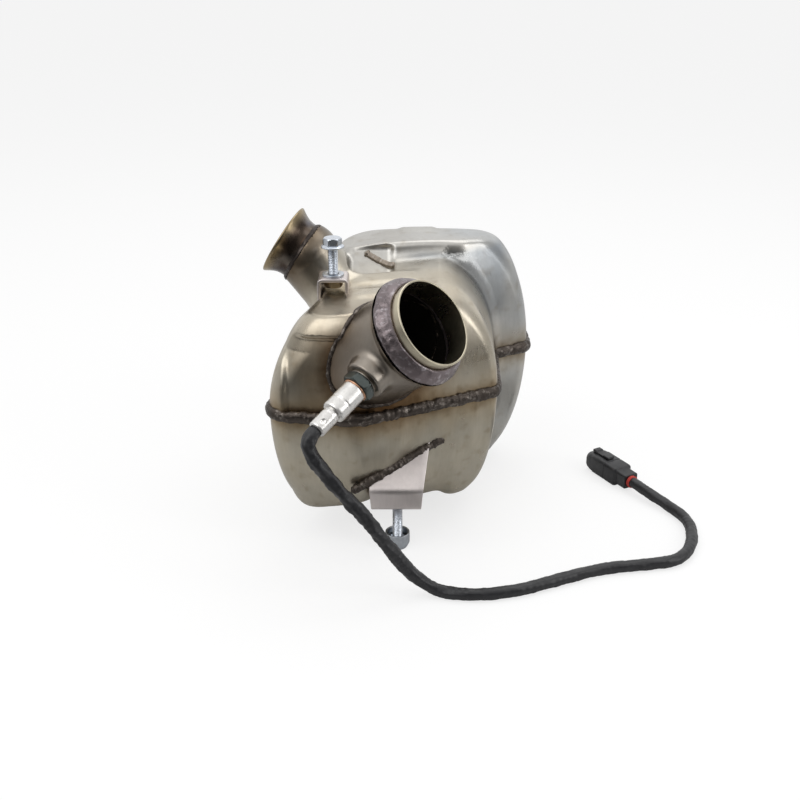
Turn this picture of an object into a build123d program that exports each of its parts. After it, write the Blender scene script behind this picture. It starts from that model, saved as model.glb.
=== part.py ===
from build123d import *
import math
import os

os.makedirs("parts", exist_ok=True)

# Frame: millimetres, +Z up, +Y to the rear. The origin is where the axis of the lower mounting
# bolt meets the floor, so the cup washer on that bolt stands on z = 0.

# Pressed shells
WALL = 1.5                     # sheet of both half shells
SEAM_Z = 115.0                 # height of the seam between the half shells
FRONT_LEFT = (-103, 0)         # plan corners of the body at the seam, anticlockwise
NOSE = (-30, -12)
FRONT_RIGHT = (80, 46)
STEP = (84, 129)
REAR_CORNER = (112, 144)
REAR_RIGHT = (112, 206)
REAR_LEFT = (-52, 214)
WAIST = (-66, 107)
LOBE_BACK_Y = 152              # the front lobes run this far back into the rear ones
FRONT_UP = 86                  # heights of the lobes above the seam
REAR_UP = 105
LEFT_DOWN = 89                 # depths of the lobes below the seam
BRIDGE_DOWN = 87
RIGHT_DOWN = 96
REAR_DOWN = SEAM_Z             # the rear pan stands on the floor
FRONT_SLOPE = (0.06, 0.06)     # rise of the front lobe's top per mm along x and y
REAR_SLOPE = (0.02, 0.0)
RIB_UP = 2.0                   # pressed ribs across the front lobe's top
RIBS_Y = ((40, 58), (68, 90))
RIBS_X = (-38, 40)
PAD_X = (2, 32)                # raised pad on top of the rear lobe
PAD_UP = 1.5
PANEL_DEEP = 2.5               # sunk panel in the front left face
PANEL_X = (-84, -42)
PANEL_BACK_Y = 12
PANEL_Z = (124, 177)
POCKET_AT = (-22, 108, 219)    # pressed pocket in the rear lobe's front top edge
POCKET_SIZE = (36, 30, 20)
POCKET_TILT = 38
POCKET_WELD = ((-8, -2), (13, -11))   # ends of the bead on the pocket's floor
POCKET_WELD_R = 2.4
SEAM_BEAD = 2.6                # how far the seam weld stands out
SEAM_BEAD_HALF = 3.6           # half its height

# Outlet pipe, from its mouth inwards
OUT_MOUTH = (26.3, -14.4, 195.2)
OUT_DIR = (0.65, -0.48, 0.59)
OUT_BORE = 64.5
OUT_STUB_WALL = 1.6
OUT_PIPE_D = 73.8
OUT_PIPE_WALL = 1.6
OUT_LIP_D = 85.0               # flared lip of the pipe, behind the collar weld
OUT_LIP_BACK = 17.4            # distance of the lip behind the mouth
OUT_COLLAR_BACK = 7.2          # front edge of the collar weld behind the mouth
OUT_STUB_LONG = 20.0
OUT_REACH = 108.0
ROOT_WELD = 4.0                # size of the fillet weld at the pipes' roots

# Inlet pipe, from its rim inwards
IN_RIM = (-93.0, 107.0, 223.0)
IN_DIR = (0.836, -0.166, -0.523)
IN_PIPE_D = 48.0
IN_WALL = 1.6
IN_RIM_D = 58.8
IN_FLARE_LONG = 9.0
IN_NECK_BACK = 24.0            # where the shell's neck starts behind the rim
IN_NECK_TURN = 48.0            # centre of the neck's round end
IN_NECK_END_R = 26.5           # its inner radius
IN_NECK_FIT = 0.3
IN_REACH = 56.0
IN_BEAD = 3.0

# Inside
BAFFLE_T = 1.5
BAFFLE_FIT = 0.3
FRONT_BAFFLE_Y = 58.0          # plate across the body, in front of the rear chambers
SIDE_BAFFLE_X = 19.0           # plate between the two rear chambers
CAN_D = 52.0
CAN_WALL = 1.4
CAN_X = (-12, 50)
CAN_AT = (93, 150)             # y and z of the can's axis
MAT_T = 2.2
CORE_BACK = 6.0                # core and mat set back from the can's ends
TRANSFER_D = 38.0
TRANSFER_WALL = 1.2
TRANSFER_AT = (42, 88)         # x and z of the transfer tube
TRANSFER_Y = (42, 112)
TRANSFER_HOLE_D = 6.0

# Sensor, from the outlet pipe's axis outwards
SENSOR_BACK = 33.4             # behind the mouth along the outlet's axis
SENSOR_DIR = (-0.624, -0.645, -0.441)
BOSS_D = 24.5
BOSS_END = 44.2
THREAD_D = 18.0
GASKET_D = 22.0
GASKET_T = 1.5
HEX_AF = 22.0
HEX_T = 9.5
RING_D = 20.0
RING_T = 1.5
SLEEVE_D = 18.5
SLEEVE_LONG = 24.3
CAP_D = 13.4
CAP_LONG = 18.0
GROMMET_D = 10.0
GROMMET_LONG = 0.8
PROBE_D = 11.0
PROBE_LONG = 20.0

# Sensor lead and connector
LEAD_D = 9.0
LEAD_FIRST = 4.0
LEAD_ROUTE = [
    (-61.9, -68.2, 126.7), (-62.1, -70.8, 122.4), (-60.4, -72.5, 117.4), (-54.8, -73.7, 109.2),
    (-41.6, -76.3, 92), (-22, -79, 70), (-7, -76, 46), (9, -72, 20), (29, -72, 4.5),
    (52, -78, 4.5), (84, -74, 4.5), (122, -57, 4.5), (157, -41, 4.5), (193, -36, 4.5),
    (222, -29, 4.5), (238, 2, 4.5), (241, 34, 4.5), (228, 58, 4.5),
]
PLUG_AT = (205.7, 90.1)        # where the lead enters the connector
PLUG_DIR = (-0.48, 0.877)
PLUG_LAST = 19.0
PLUG_NECK = (12, 15, 13)       # length, width and height of the connector's rear part
PLUG_BODY = (40, 20, 17)
PLUG_KEYWAY = (14, 5, 2)
SEAL_LONG = 3.0
SEAL_D = 11.0
LOCK_SIZE = (22, 8, 2.5)

# Mounts
M8 = 8.0
M8_HEX = 13.0
M8_HEAD = 6.0
M8_FLANGE_D = 18.0
M8_FLANGE_T = 1.5
M8_NUT_T = 6.5
HOLE_FIT = 0.5                 # radial play of a bolt in a plain hole
BRACKET_T = 2.5
LOW_TAB_Z = 37.0               # underside of the lower bracket's tab
LOW_FOLD_Z = 54.0
LOW_FRONT_Y = -9.5
LOW_X = (-22.0, 20.0)
LOW_TAB_BACK = 11.0
LOW_PLATE_ANGLE = 45.0
LOW_PLATE_LONG = 50.0
LOW_WELD_ENDS = ((-36, 54), (37, 84))
LOW_WELD_R = 3.8
LOW_FACE_LEAN = (4.5, 2.0)     # how far the face stands back of its seam line at the weld's ends
CUP_D = 19.5
CUP_HIGH = 13.0
CUP_WALL = 1.6
CUP_TAPER = (2.0, 4.0)         # width and height of the cone at its foot
UP_BOLT_AT = (-50.0, 62.0)
UP_TAB_Z = 204.0               # underside of the upper bracket's tab
UP_SIZE = (29.0, 24.0)
UP_CORNER = 5.0
UP_HEAD_Z = 229.0              # underside of the upper bolt's flange
WASHER_D = 17.0
WASHER_T = 1.6
UP_FOOT_Z = 165.0

LEVELS = 6                     # loft sections between the seam and a lobe's crown
CROWN_ANGLE = 80.0


def unit(v):
    return Vector(*v).normalized()


def along(origin, direction):
    """A plane at origin whose z runs along direction."""
    return Plane(origin=Vector(*origin), z_dir=unit(direction))


def inset_corners(corners, insets):
    """Corners of an outline whose sides have each moved inwards by their own inset."""
    sides = []
    for i, (ax, ay) in enumerate(corners):
        bx, by = corners[(i + 1) % len(corners)]
        long = math.hypot(bx - ax, by - ay)
        nx, ny = (ay - by) / long, (bx - ax) / long
        sides.append((nx, ny, nx * ax + ny * ay + insets[i]))
    moved = []
    for i, (nx, ny, c) in enumerate(sides):
        mx, my, d = sides[i - 1]
        det = mx * ny - my * nx
        moved.append(((d * ny - c * my) / det, (c * mx - d * nx) / det))
    return moved


def rounded_wire(corners, radii, height_at):
    """A closed outline with rounded corners, laid on the surface that height_at gives."""
    def lift(p):
        return Vector(p.X, p.Y, height_at(p.X, p.Y))

    points = [Vector(*c) for c in corners]
    arcs = []
    for i, corner in enumerate(points):
        back = points[i - 1] - corner
        on = points[(i + 1) % len(points)] - corner
        half = math.radians(back.get_angle(on)) / 2
        cut = min(radii[i] / math.tan(half), 0.48 * min(back.length, on.length))
        radius = cut * math.tan(half)
        inwards = (back.normalized() + on.normalized()).normalized()
        middle = corner + inwards * (radius / math.sin(half) - radius)
        ends = (corner + back.normalized() * cut, middle, corner + on.normalized() * cut)
        arcs.append([lift(p) for p in ends])
    edges = []
    for i, arc in enumerate(arcs):
        edges.append(Edge.make_three_point_arc(*arc))
        edges.append(Edge.make_line(arc[2], arcs[(i + 1) % len(arcs)][0]))
    return Wire(edges)


def lobe(corners, crowns, radii, rise, inset=0.0, slope=(0, 0), pivot=(0, 0)):
    """A pressed lobe from the seam up (or down, for a negative rise). Each side leans in as a
    quarter ellipse by its own crown; inset moves the whole surface inwards."""
    high = (abs(rise) - inset) * (1 if rise > 0 else -1)
    wires = []
    for level in range(LEVELS + 1):
        angle = math.radians(CROWN_ANGLE * level / LEVELS)
        leans = [inset + max(crown - inset, 0) * (1 - math.cos(angle)) for crown in crowns]
        rounds = [max(r - inset + (leans[i - 1] + leans[i] - 2 * inset) / 2, 1.0)
                  for i, r in enumerate(radii)]
        share = math.sin(angle) / math.sin(math.radians(CROWN_ANGLE))

        def height_at(x, y):
            return SEAM_Z + share * (high + slope[0] * (x - pivot[0]) + slope[1] * (y - pivot[1]))

        wires.append(rounded_wire(inset_corners(corners, leans), rounds, height_at))
    return Solid.make_loft(wires)


def on_front_face(x, inset=0.0):
    """A point of the slanted right front side at the seam, moved inwards by inset."""
    rise = (FRONT_RIGHT[1] - NOSE[1]) / (FRONT_RIGHT[0] - NOSE[0])
    return (x, NOSE[1] + (x - NOSE[0]) * rise + inset * math.hypot(1, rise))


def front_lobe(inset):
    corners = [FRONT_LEFT, NOSE, FRONT_RIGHT, (STEP[0], LOBE_BACK_Y), (-60, LOBE_BACK_Y), WAIST]
    return lobe(corners, [22, 24, 56, 12, 18, 27], [18, 45, 10, 10, 10, 40], FRONT_UP, inset,
                FRONT_SLOPE, (0, 90))


def rear_lobe(inset):
    corners = [(WAIST[0], WAIST[1] + 1), (56, 112), REAR_CORNER, REAR_RIGHT, REAR_LEFT]
    return lobe(corners, [16, 18, 54, 62, 58], [10, 24, 12, 40, 34], REAR_UP, inset,
                REAR_SLOPE, (40, 0))


def left_pan(inset):
    corners = [FRONT_LEFT, NOSE, on_front_face(6), (6, LOBE_BACK_Y), (-60, LOBE_BACK_Y), WAIST]
    return lobe(corners, [20, 20, 26, 10, 22, 15], [18, 45, 10, 10, 10, 40], -LEFT_DOWN, inset)


def right_pan(inset):
    corners = [on_front_face(20), FRONT_RIGHT, (STEP[0], LOBE_BACK_Y), (20, LOBE_BACK_Y)]
    return lobe(corners, [22, 34, 10, 20], [10, 10, 10, 10], -RIGHT_DOWN, inset)


def bridge_pan(inset):
    corners = [on_front_face(-22, 0.6), on_front_face(62, 0.6), (62, LOBE_BACK_Y - 2),
               (-22, LOBE_BACK_Y - 2)]
    return lobe(corners, [20, 10, 10, 10], [8, 8, 8, 8], -BRIDGE_DOWN, inset)


def rear_pan(inset):
    corners = [(WAIST[0], WAIST[1] + 1), (58, 114), REAR_CORNER, REAR_RIGHT, REAR_LEFT]
    return lobe(corners, [30, 30, 48, 44, 32], [10, 24, 12, 40, 34], -REAR_DOWN, inset)


def slab(x=(-300, 400), y=(-300, 400), z=(-300, 400)):
    size = (x[1] - x[0], y[1] - y[0], z[1] - z[0])
    return Pos((x[0] + x[1]) / 2, (y[0] + y[1]) / 2, (z[0] + z[1]) / 2) * Box(*size)


def pocket(grow):
    block = Box(*(s + 2 * grow for s in POCKET_SIZE))
    block = fillet(block.edges(), 4 + grow)
    return Pos(*POCKET_AT) * Rot(POCKET_TILT, 0, 0) * block


def panel(shallow, deep):
    """The layer of the front lobe's skin that the sunk panel takes away."""
    grow = shallow
    window = slab((PANEL_X[0] - grow, PANEL_X[1] + grow), (-40, PANEL_BACK_Y + grow),
                  (PANEL_Z[0] - grow, PANEL_Z[1] + grow))
    window = fillet(window.edges().filter_by(Axis.Y), 14)
    return (front_lobe(shallow) & window) - front_lobe(deep)


def neck(grow):
    """The drawn neck of the upper shell round the inlet pipe, with its round end."""
    start = IN_PIPE_D / 2 + IN_NECK_FIT + grow
    end = IN_NECK_END_R + grow
    outline = [(0, IN_NECK_BACK), (start, IN_NECK_BACK), (end, IN_NECK_TURN), (0, IN_NECK_TURN)]
    ball = along(IN_RIM, IN_DIR) * Pos(0, 0, IN_NECK_TURN) * Sphere(end)
    return turned(IN_RIM, IN_DIR, outline) + ball


def upper_outside():
    body = front_lobe(0) + rear_lobe(0)
    for span in RIBS_Y:
        body += front_lobe(-RIB_UP) & slab(RIBS_X, span, (SEAM_Z + 60, 300))
    body += rear_lobe(-PAD_UP) & slab(PAD_X, (135, 190), (SEAM_Z + 90, 300))
    return (body + neck(WALL)) - pocket(0) - panel(-0.01, PANEL_DEEP)


def upper_inside(inset):
    body = front_lobe(inset) + rear_lobe(inset) + neck(WALL - inset)
    return body - pocket(inset) - panel(inset - 0.01, PANEL_DEEP + inset)


def lower_outside():
    return left_pan(0) + right_pan(0) + bridge_pan(0) + rear_pan(0)


def lower_inside(inset):
    return left_pan(inset) + right_pan(inset) + bridge_pan(inset) + rear_pan(inset)


def tube(origin, direction, outer_d, inner_d, start, end):
    """A straight tube (or a rod, for no inner diameter) from start to end along an axis."""
    body = Cylinder(outer_d / 2, end - start, align=(Align.CENTER, Align.CENTER, Align.MIN))
    if inner_d:
        body -= Cylinder(inner_d / 2, end - start, align=(Align.CENTER, Align.CENTER, Align.MIN))
    return along(origin, direction) * Pos(0, 0, start) * body


def turned(origin, direction, outline):
    """A turned piece: outline gives (radius, distance along the axis) points."""
    face = make_face(Polyline(*[(r, 0, s) for r, s in outline], close=True))
    return along(origin, direction) * revolve(face, Axis.Z)


def biggest(shape):
    return max(shape.solids(), key=lambda s: s.volume)


def save(name, shape):
    export_step(shape, f"parts/{name}.step")


# Axes that several pieces share
out_in = tuple(-c for c in unit(OUT_DIR))
mouth = Vector(*OUT_MOUTH)
sensor_foot = mouth + unit(out_in) * SENSOR_BACK
sensor_dir = unit(SENSOR_DIR)


def sensor_piece(outer_d, inner_d, start, end):
    return tube(sensor_foot, sensor_dir, outer_d, inner_d, start, end)


# Body
outside_up = upper_outside()
outside_down = lower_outside()
inside_up = upper_inside(WALL)
inside_down = lower_inside(WALL)
outlet_hole = tube(mouth, out_in, OUT_PIPE_D, 0, 0, OUT_REACH)
inlet_hole = tube(IN_RIM, IN_DIR, IN_PIPE_D + 2 * IN_NECK_FIT, 0, 0, IN_REACH)

upper_shell = biggest(outside_up - inside_up - outlet_hole - inlet_hole)
lower_shell = biggest(outside_down - inside_down)
save("upper_shell", upper_shell)
save("lower_shell", lower_shell)


def seam_weld():
    band = slab(z=(SEAM_Z - SEAM_BEAD_HALF, SEAM_Z + SEAM_BEAD_HALF))
    up = (front_lobe(-SEAM_BEAD) + rear_lobe(-SEAM_BEAD)) & band
    down = (left_pan(-SEAM_BEAD) + right_pan(-SEAM_BEAD) + bridge_pan(-SEAM_BEAD)
            + rear_pan(-SEAM_BEAD)) & band
    return biggest((up + down) - outside_up - outside_down - outlet_hole)


save("seam_weld", seam_weld())


# Outlet
def outlet_pipe():
    r = OUT_PIPE_D / 2
    lip = OUT_LIP_D / 2
    bore = r - OUT_PIPE_WALL
    outline = [(bore, OUT_LIP_BACK + 7), (lip - OUT_PIPE_WALL, OUT_LIP_BACK), (lip, OUT_LIP_BACK),
               (lip, OUT_LIP_BACK + 1.5), (r, OUT_LIP_BACK + 9), (r, OUT_REACH), (bore, OUT_REACH)]
    pipe = turned(mouth, out_in, outline)
    sensor_hole = sensor_piece(THREAD_D + 2 * HOLE_FIT, 0, 0, BOSS_END)
    return biggest(pipe - inside_up - inside_down - lower_shell - sensor_hole)


def outlet_stub():
    outer = OUT_BORE + 2 * OUT_STUB_WALL
    return tube(mouth, out_in, outer, OUT_BORE, 0, OUT_STUB_LONG)


def outlet_collar():
    inner = OUT_BORE / 2 + OUT_STUB_WALL
    lip = OUT_LIP_D / 2
    bore = OUT_PIPE_D / 2 - OUT_PIPE_WALL
    outline = [(inner, OUT_COLLAR_BACK), (inner + 1.5, OUT_COLLAR_BACK - 0.5),
               (lip - 1.5, OUT_LIP_BACK - 4), (lip - 0.3, OUT_LIP_BACK - 1.5),
               (lip - 0.3, OUT_LIP_BACK), (lip - OUT_PIPE_WALL, OUT_LIP_BACK),
               (bore, OUT_LIP_BACK + 7), (inner, OUT_LIP_BACK + 7)]
    return turned(mouth, out_in, outline)


def root_weld(hole, hole_d, origin, direction, reach, outside, grown, clear):
    """The fillet weld where a pipe meets the body's skin."""
    sleeve = tube(origin, direction, hole_d + 2 * ROOT_WELD, hole_d, 5, reach)
    bead = (sleeve & grown) - outside
    for piece in clear:
        bead -= piece
    return biggest(bead)


pipe = outlet_pipe()
save("outlet_pipe", pipe)
save("outlet_stub", outlet_stub())
save("outlet_collar", outlet_collar())
seam_band = slab(z=(SEAM_Z - SEAM_BEAD_HALF - 1, SEAM_Z + SEAM_BEAD_HALF))
save("outlet_root_weld", root_weld(outlet_hole, OUT_PIPE_D, mouth, out_in, OUT_REACH, outside_up,
                                   front_lobe(-ROOT_WELD), [seam_band, pipe]))


# Inlet
def inlet_pipe():
    r = IN_PIPE_D / 2
    rim = IN_RIM_D / 2
    outline = [(rim - IN_WALL, 0), (rim, 0), (rim, 1.2), (r + 1.6, IN_FLARE_LONG * 0.6),
               (r, IN_FLARE_LONG), (r, IN_REACH), (r - IN_WALL, IN_REACH),
               (r - IN_WALL, IN_FLARE_LONG), (r + 1.6 - IN_WALL, IN_FLARE_LONG * 0.5)]
    return turned(IN_RIM, IN_DIR, outline)


def inlet_weld():
    r = IN_PIPE_D / 2
    outer = r + IN_NECK_FIT + WALL
    outline = [(r, IN_NECK_BACK - 4), (r + 1.5, IN_NECK_BACK - 3.5), (outer + 1, IN_NECK_BACK - 1),
               (outer + 1, IN_NECK_BACK), (r, IN_NECK_BACK)]
    return turned(IN_RIM, IN_DIR, outline)


save("inlet_pipe", inlet_pipe())
save("inlet_weld", inlet_weld())


def pocket_weld():
    """The short bead on the pocket's floor."""
    floor = -POCKET_SIZE[2] / 2
    a, b = [Vector(x, y, floor) for x, y in POCKET_WELD]
    rod = tube(a, b - a, 2 * POCKET_WELD_R, 0, 0, (b - a).length)
    rod += Pos(*a) * Sphere(POCKET_WELD_R * 1.3) + Pos(*b) * Sphere(POCKET_WELD_R)
    return biggest(Pos(*POCKET_AT) * Rot(POCKET_TILT, 0, 0) * rod - outside_up)


save("pocket_weld", pocket_weld())


# Inside pieces
def rod_x(d, x, at):
    """A rod along x, for pieces and their holes."""
    return Pos(sum(x) / 2, *at) * Rot(0, 90, 0) * Cylinder(d / 2, x[1] - x[0])


def rod_y(d, y, at):
    return Pos(at[0], sum(y) / 2, at[1]) * Rot(90, 0, 0) * Cylinder(d / 2, y[1] - y[0])


def front_baffle():
    hole = rod_y(TRANSFER_D + 2 * BAFFLE_FIT, TRANSFER_Y, TRANSFER_AT)
    return biggest((cavity & slab(y=(FRONT_BAFFLE_Y, FRONT_BAFFLE_Y + BAFFLE_T))) - hole)


def side_baffle():
    sheet = slab(x=(SIDE_BAFFLE_X, SIDE_BAFFLE_X + BAFFLE_T),
                 y=(FRONT_BAFFLE_Y + BAFFLE_T + BAFFLE_FIT, 300))
    return biggest((cavity & sheet) - rod_x(CAN_D + 2 * BAFFLE_FIT, CAN_X, CAN_AT))


def transfer_tube():
    body = rod_y(TRANSFER_D, TRANSFER_Y, TRANSFER_AT)
    body -= rod_y(TRANSFER_D - 2 * TRANSFER_WALL, TRANSFER_Y, TRANSFER_AT)
    x, z = TRANSFER_AT
    for y in (49, 71, 83, 95):
        for turn in (45, 135):
            drill = Pos(x, y, z) * Rot(0, turn, 0) * Cylinder(TRANSFER_HOLE_D / 2, TRANSFER_D + 2)
            body -= drill
    return body


def catalyst(outer_d, inner_d, back):
    x = (CAN_X[0] + back, CAN_X[1] - back)
    body = rod_x(outer_d, x, CAN_AT)
    if inner_d:
        body -= rod_x(inner_d, x, CAN_AT)
    return body


cavity = upper_inside(WALL + BAFFLE_FIT) + lower_inside(WALL + BAFFLE_FIT)
can_bore = CAN_D - 2 * CAN_WALL
core_d = can_bore - 2 * MAT_T
save("front_baffle", front_baffle())
save("side_baffle", side_baffle())
save("transfer_tube", transfer_tube())
save("catalyst_can", catalyst(CAN_D, can_bore, 0))
save("catalyst_mat", catalyst(can_bore, core_d, CORE_BACK))
save("catalyst_core", catalyst(core_d, 0, CORE_BACK))


# Sensor
def sensor_boss():
    boss = sensor_piece(BOSS_D, THREAD_D, 20, BOSS_END)
    return biggest(boss - outlet_hole)


def boss_weld():
    ring = sensor_piece(BOSS_D + 5, BOSS_D, 20, BOSS_END - 3)
    skin = tube(mouth, out_in, OUT_PIPE_D + 5, OUT_PIPE_D, OUT_LIP_BACK + 9.5, OUT_REACH)
    return biggest(ring & skin)


def sensor_body():
    base = BOSS_END + GASKET_T
    hexagon = extrude(RegularPolygon(HEX_AF / 2, 6, major_radius=False), HEX_T)
    nut = along(sensor_foot, sensor_dir) * Pos(0, 0, base) * hexagon
    thread = sensor_piece(THREAD_D, PROBE_D, PROBE_LONG + 10, base)
    return nut + thread


def sensor_probe():
    nose = sensor_piece(PROBE_D, PROBE_D - 2, PROBE_LONG - 8, BOSS_END + GASKET_T)
    return nose + sensor_piece(PROBE_D, 0, PROBE_LONG - 9, PROBE_LONG - 8)


hex_top = BOSS_END + GASKET_T + HEX_T
ring_top = hex_top + RING_T
sleeve_top = ring_top + SLEEVE_LONG
cap_top = sleeve_top + CAP_LONG
lead_start = cap_top + GROMMET_LONG
save("sensor_boss", sensor_boss())
save("sensor_boss_weld", boss_weld())
save("sensor_gasket", sensor_piece(GASKET_D, THREAD_D, BOSS_END, BOSS_END + GASKET_T))
save("sensor_body", sensor_body())
save("sensor_probe", sensor_probe())
save("sensor_ring", sensor_piece(RING_D, 0, hex_top, ring_top))
sleeve = sensor_piece(SLEEVE_D, 0, ring_top, sleeve_top)
save("sensor_sleeve", chamfer(sleeve.edges().filter_by(GeomType.CIRCLE).sort_by(
    lambda e: e.center().Z)[:1], 1.2))
cap = sensor_piece(CAP_D, 0, sleeve_top, cap_top)
save("sensor_cap", fillet(cap.edges().filter_by(GeomType.CIRCLE).sort_by(
    lambda e: e.center().Z)[:1], 1.0))
save("sensor_grommet", sensor_piece(GROMMET_D, 0, cap_top, lead_start))


# Lead: straight runs joined by tangent arcs, from the grommet to the connector
plug_z = PLUG_BODY[2] / 2
plug_u = Vector(*PLUG_DIR).normalized()
plug_at = Vector(*PLUG_AT, plug_z)
exit_at = sensor_foot + sensor_dir * lead_start
route = [exit_at, exit_at + sensor_dir * LEAD_FIRST]
route += [Vector(*p) for p in LEAD_ROUTE]
route += [plug_at - plug_u * PLUG_LAST, plug_at]


def bend_radii(points):
    radii = []
    for before, at, after in zip(points, points[1:], points[2:]):
        turn = math.radians((at - before).get_angle(after - at))
        run = min((at - before).length, (after - at).length)
        radii.append(0.45 * run / math.tan(turn / 2))
    return radii


def sensor_lead():
    radii = bend_radii(route)
    path = FilletPolyline(*route, radius=radii)
    section = Plane(origin=route[0], z_dir=route[1] - route[0]) * Circle(LEAD_D / 2)
    lead = sweep(section, path=path)
    print("lead radii", [round(r) for r in radii], "length", round(path.length, 1),
          "volume share", round(lead.volume / (path.length * math.pi * LEAD_D ** 2 / 4), 4))
    return lead


save("sensor_lead", sensor_lead())


# Connector, lying on the floor
def plug_block(size, start, radius, lift=0.0):
    block = Box(*size, align=(Align.MIN, Align.CENTER, Align.CENTER))
    block = fillet(block.edges().filter_by(Axis.X), radius)
    turn = math.degrees(math.atan2(plug_u.Y, plug_u.X))
    at = plug_at + plug_u * start
    return Pos(at.X, at.Y, plug_z + lift) * Rot(0, 0, turn) * block


def connector_housing():
    neck_long = PLUG_NECK[0]
    body = plug_block(PLUG_NECK, SEAL_LONG, 2) + plug_block(PLUG_BODY, SEAL_LONG + neck_long, 3)
    end = SEAL_LONG + neck_long + PLUG_BODY[0]
    mouth_size = (18, PLUG_BODY[1] - 4, PLUG_BODY[2] - 5)
    body -= plug_block(mouth_size, end - mouth_size[0] + 0.01, 2)
    keyway = plug_block(PLUG_KEYWAY, SEAL_LONG + neck_long, 0.5, PLUG_BODY[2] / 2)
    return body - keyway


def connector_lock():
    start = SEAL_LONG + PLUG_NECK[0] + PLUG_KEYWAY[0] + 2
    return plug_block(LOCK_SIZE, start, 0.8, (PLUG_BODY[2] + LOCK_SIZE[2]) / 2)


save("connector_housing", connector_housing())
save("connector_lock", connector_lock())
save("connector_seal", tube(plug_at, (plug_u.X, plug_u.Y, 0), SEAL_D, 0, 0, SEAL_LONG))


# Fasteners with their heads at the origin and their shanks along +z
def hex_bolt(shank):
    head = extrude(RegularPolygon(M8_HEX / 2, 6, major_radius=False), -M8_HEAD)
    up = (Align.CENTER, Align.CENTER, Align.MIN)
    flange = Cylinder(M8_FLANGE_D / 2, M8_FLANGE_T, align=up)
    return head + flange + Pos(0, 0, M8_FLANGE_T) * Cylinder(M8 / 2, shank, align=up)


def weld_nut():
    nut = extrude(RegularPolygon(M8_HEX / 2, 6, major_radius=False), M8_NUT_T)
    return nut - Cylinder(M8 / 2, 40)


# Lower mount
def lower_bracket():
    x0, x1 = LOW_X
    t = BRACKET_T
    y0 = LOW_FRONT_Y
    up = math.radians(LOW_PLATE_ANGLE)
    far = (y0 + LOW_PLATE_LONG * math.cos(up), LOW_FOLD_Z + LOW_PLATE_LONG * math.sin(up))
    inner = (y0 + t, LOW_FOLD_Z - t * math.tan(math.pi / 4 - up / 2))
    outline = [(y0, LOW_TAB_Z), (LOW_TAB_BACK, LOW_TAB_Z), (LOW_TAB_BACK, LOW_TAB_Z + t),
               (y0 + t, LOW_TAB_Z + t), inner,
               (far[0] + t * math.sin(up), far[1] - t * math.cos(up)), far, (y0, LOW_FOLD_Z)]
    face = make_face(Polyline(*[(0, y, z) for y, z in outline], close=True))
    sheet = Pos(x0, 0, 0) * extrude(face, amount=x1 - x0, dir=(1, 0, 0))
    hole = Pos(0, 0, LOW_TAB_Z) * Cylinder(M8 / 2 + HOLE_FIT, 12)
    return biggest(sheet - outside_down - outside_up - hole - seam_band)


def lower_weld():
    ends = []
    for (x, z), lean in zip(LOW_WELD_ENDS, LOW_FACE_LEAN):
        fx, fy = on_front_face(x, lean)
        ends.append(Vector(fx, fy, z))
    rod = tube(ends[0], ends[1] - ends[0], 2 * LOW_WELD_R, 0, 0, (ends[1] - ends[0]).length)
    tips = [Pos(*e) * Sphere(LOW_WELD_R) for e in ends]
    return biggest((rod + tips[0] + tips[1]) - outside_down - bracket)


def cup_washer():
    r = CUP_D / 2
    w = CUP_WALL
    in_d, up = CUP_TAPER
    outline = [(M8 / 2, 0), (r - in_d, 0), (r, up), (r, CUP_HIGH), (r - w, CUP_HIGH), (r - w, up),
               (r - in_d - 0.6, w), (M8 / 2, w)]
    return turned((0, 0, 0), (0, 0, 1), outline)


bracket = lower_bracket()
low_nut_top = LOW_TAB_Z + BRACKET_T + M8_NUT_T
save("lower_bracket", bracket)
save("lower_bracket_weld", lower_weld())
save("lower_weld_nut", Pos(0, 0, LOW_TAB_Z + BRACKET_T) * weld_nut())
save("lower_cup_washer", cup_washer())
save("lower_bolt", Pos(0, 0, CUP_WALL) * Cylinder(M8_HEX / 2, M8_HEAD, align=(
    Align.CENTER, Align.CENTER, Align.MIN)) + Cylinder(M8 / 2, low_nut_top, align=(
        Align.CENTER, Align.CENTER, Align.MIN)))


# Upper mount
def upper_bracket():
    wide, deep = UP_SIZE
    t = BRACKET_T
    x, y = UP_BOLT_AT
    high = UP_TAB_Z + t - UP_FOOT_Z
    block = Box(wide, deep, high, align=(Align.CENTER, Align.CENTER, Align.MAX))
    block = fillet(block.edges().filter_by(Axis.Y).group_by(Axis.Z)[-1], UP_CORNER)
    core = Box(wide - 2 * t, deep, high, align=(Align.CENTER, Align.CENTER, Align.MAX))
    core = fillet(core.edges().filter_by(Axis.Y).group_by(Axis.Z)[-1], UP_CORNER - t)
    channel = Pos(x, y, UP_TAB_Z + t) * (block - Pos(0, 0, -t) * core)
    hole = Pos(x, y, UP_TAB_Z) * Cylinder(M8 / 2 + HOLE_FIT, 12)
    return biggest(channel - outside_up - hole)


x_up, y_up = UP_BOLT_AT
washer_top = UP_TAB_Z + BRACKET_T + WASHER_T
up_bolt_long = UP_HEAD_Z - (UP_TAB_Z - M8_NUT_T)
save("upper_bracket", upper_bracket())
save("upper_weld_nut", Pos(x_up, y_up, UP_TAB_Z - M8_NUT_T) * weld_nut() - outside_up)
save("upper_washer", Pos(x_up, y_up, UP_TAB_Z + BRACKET_T) * (
    Cylinder(WASHER_D / 2, WASHER_T, align=(Align.CENTER, Align.CENTER, Align.MIN))
    - Cylinder(M8 / 2 + HOLE_FIT, 10)))
save("upper_bolt", Pos(x_up, y_up, UP_HEAD_Z + M8_FLANGE_T) * Rot(180, 0, 0) * hex_bolt(up_bolt_long))
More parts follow.
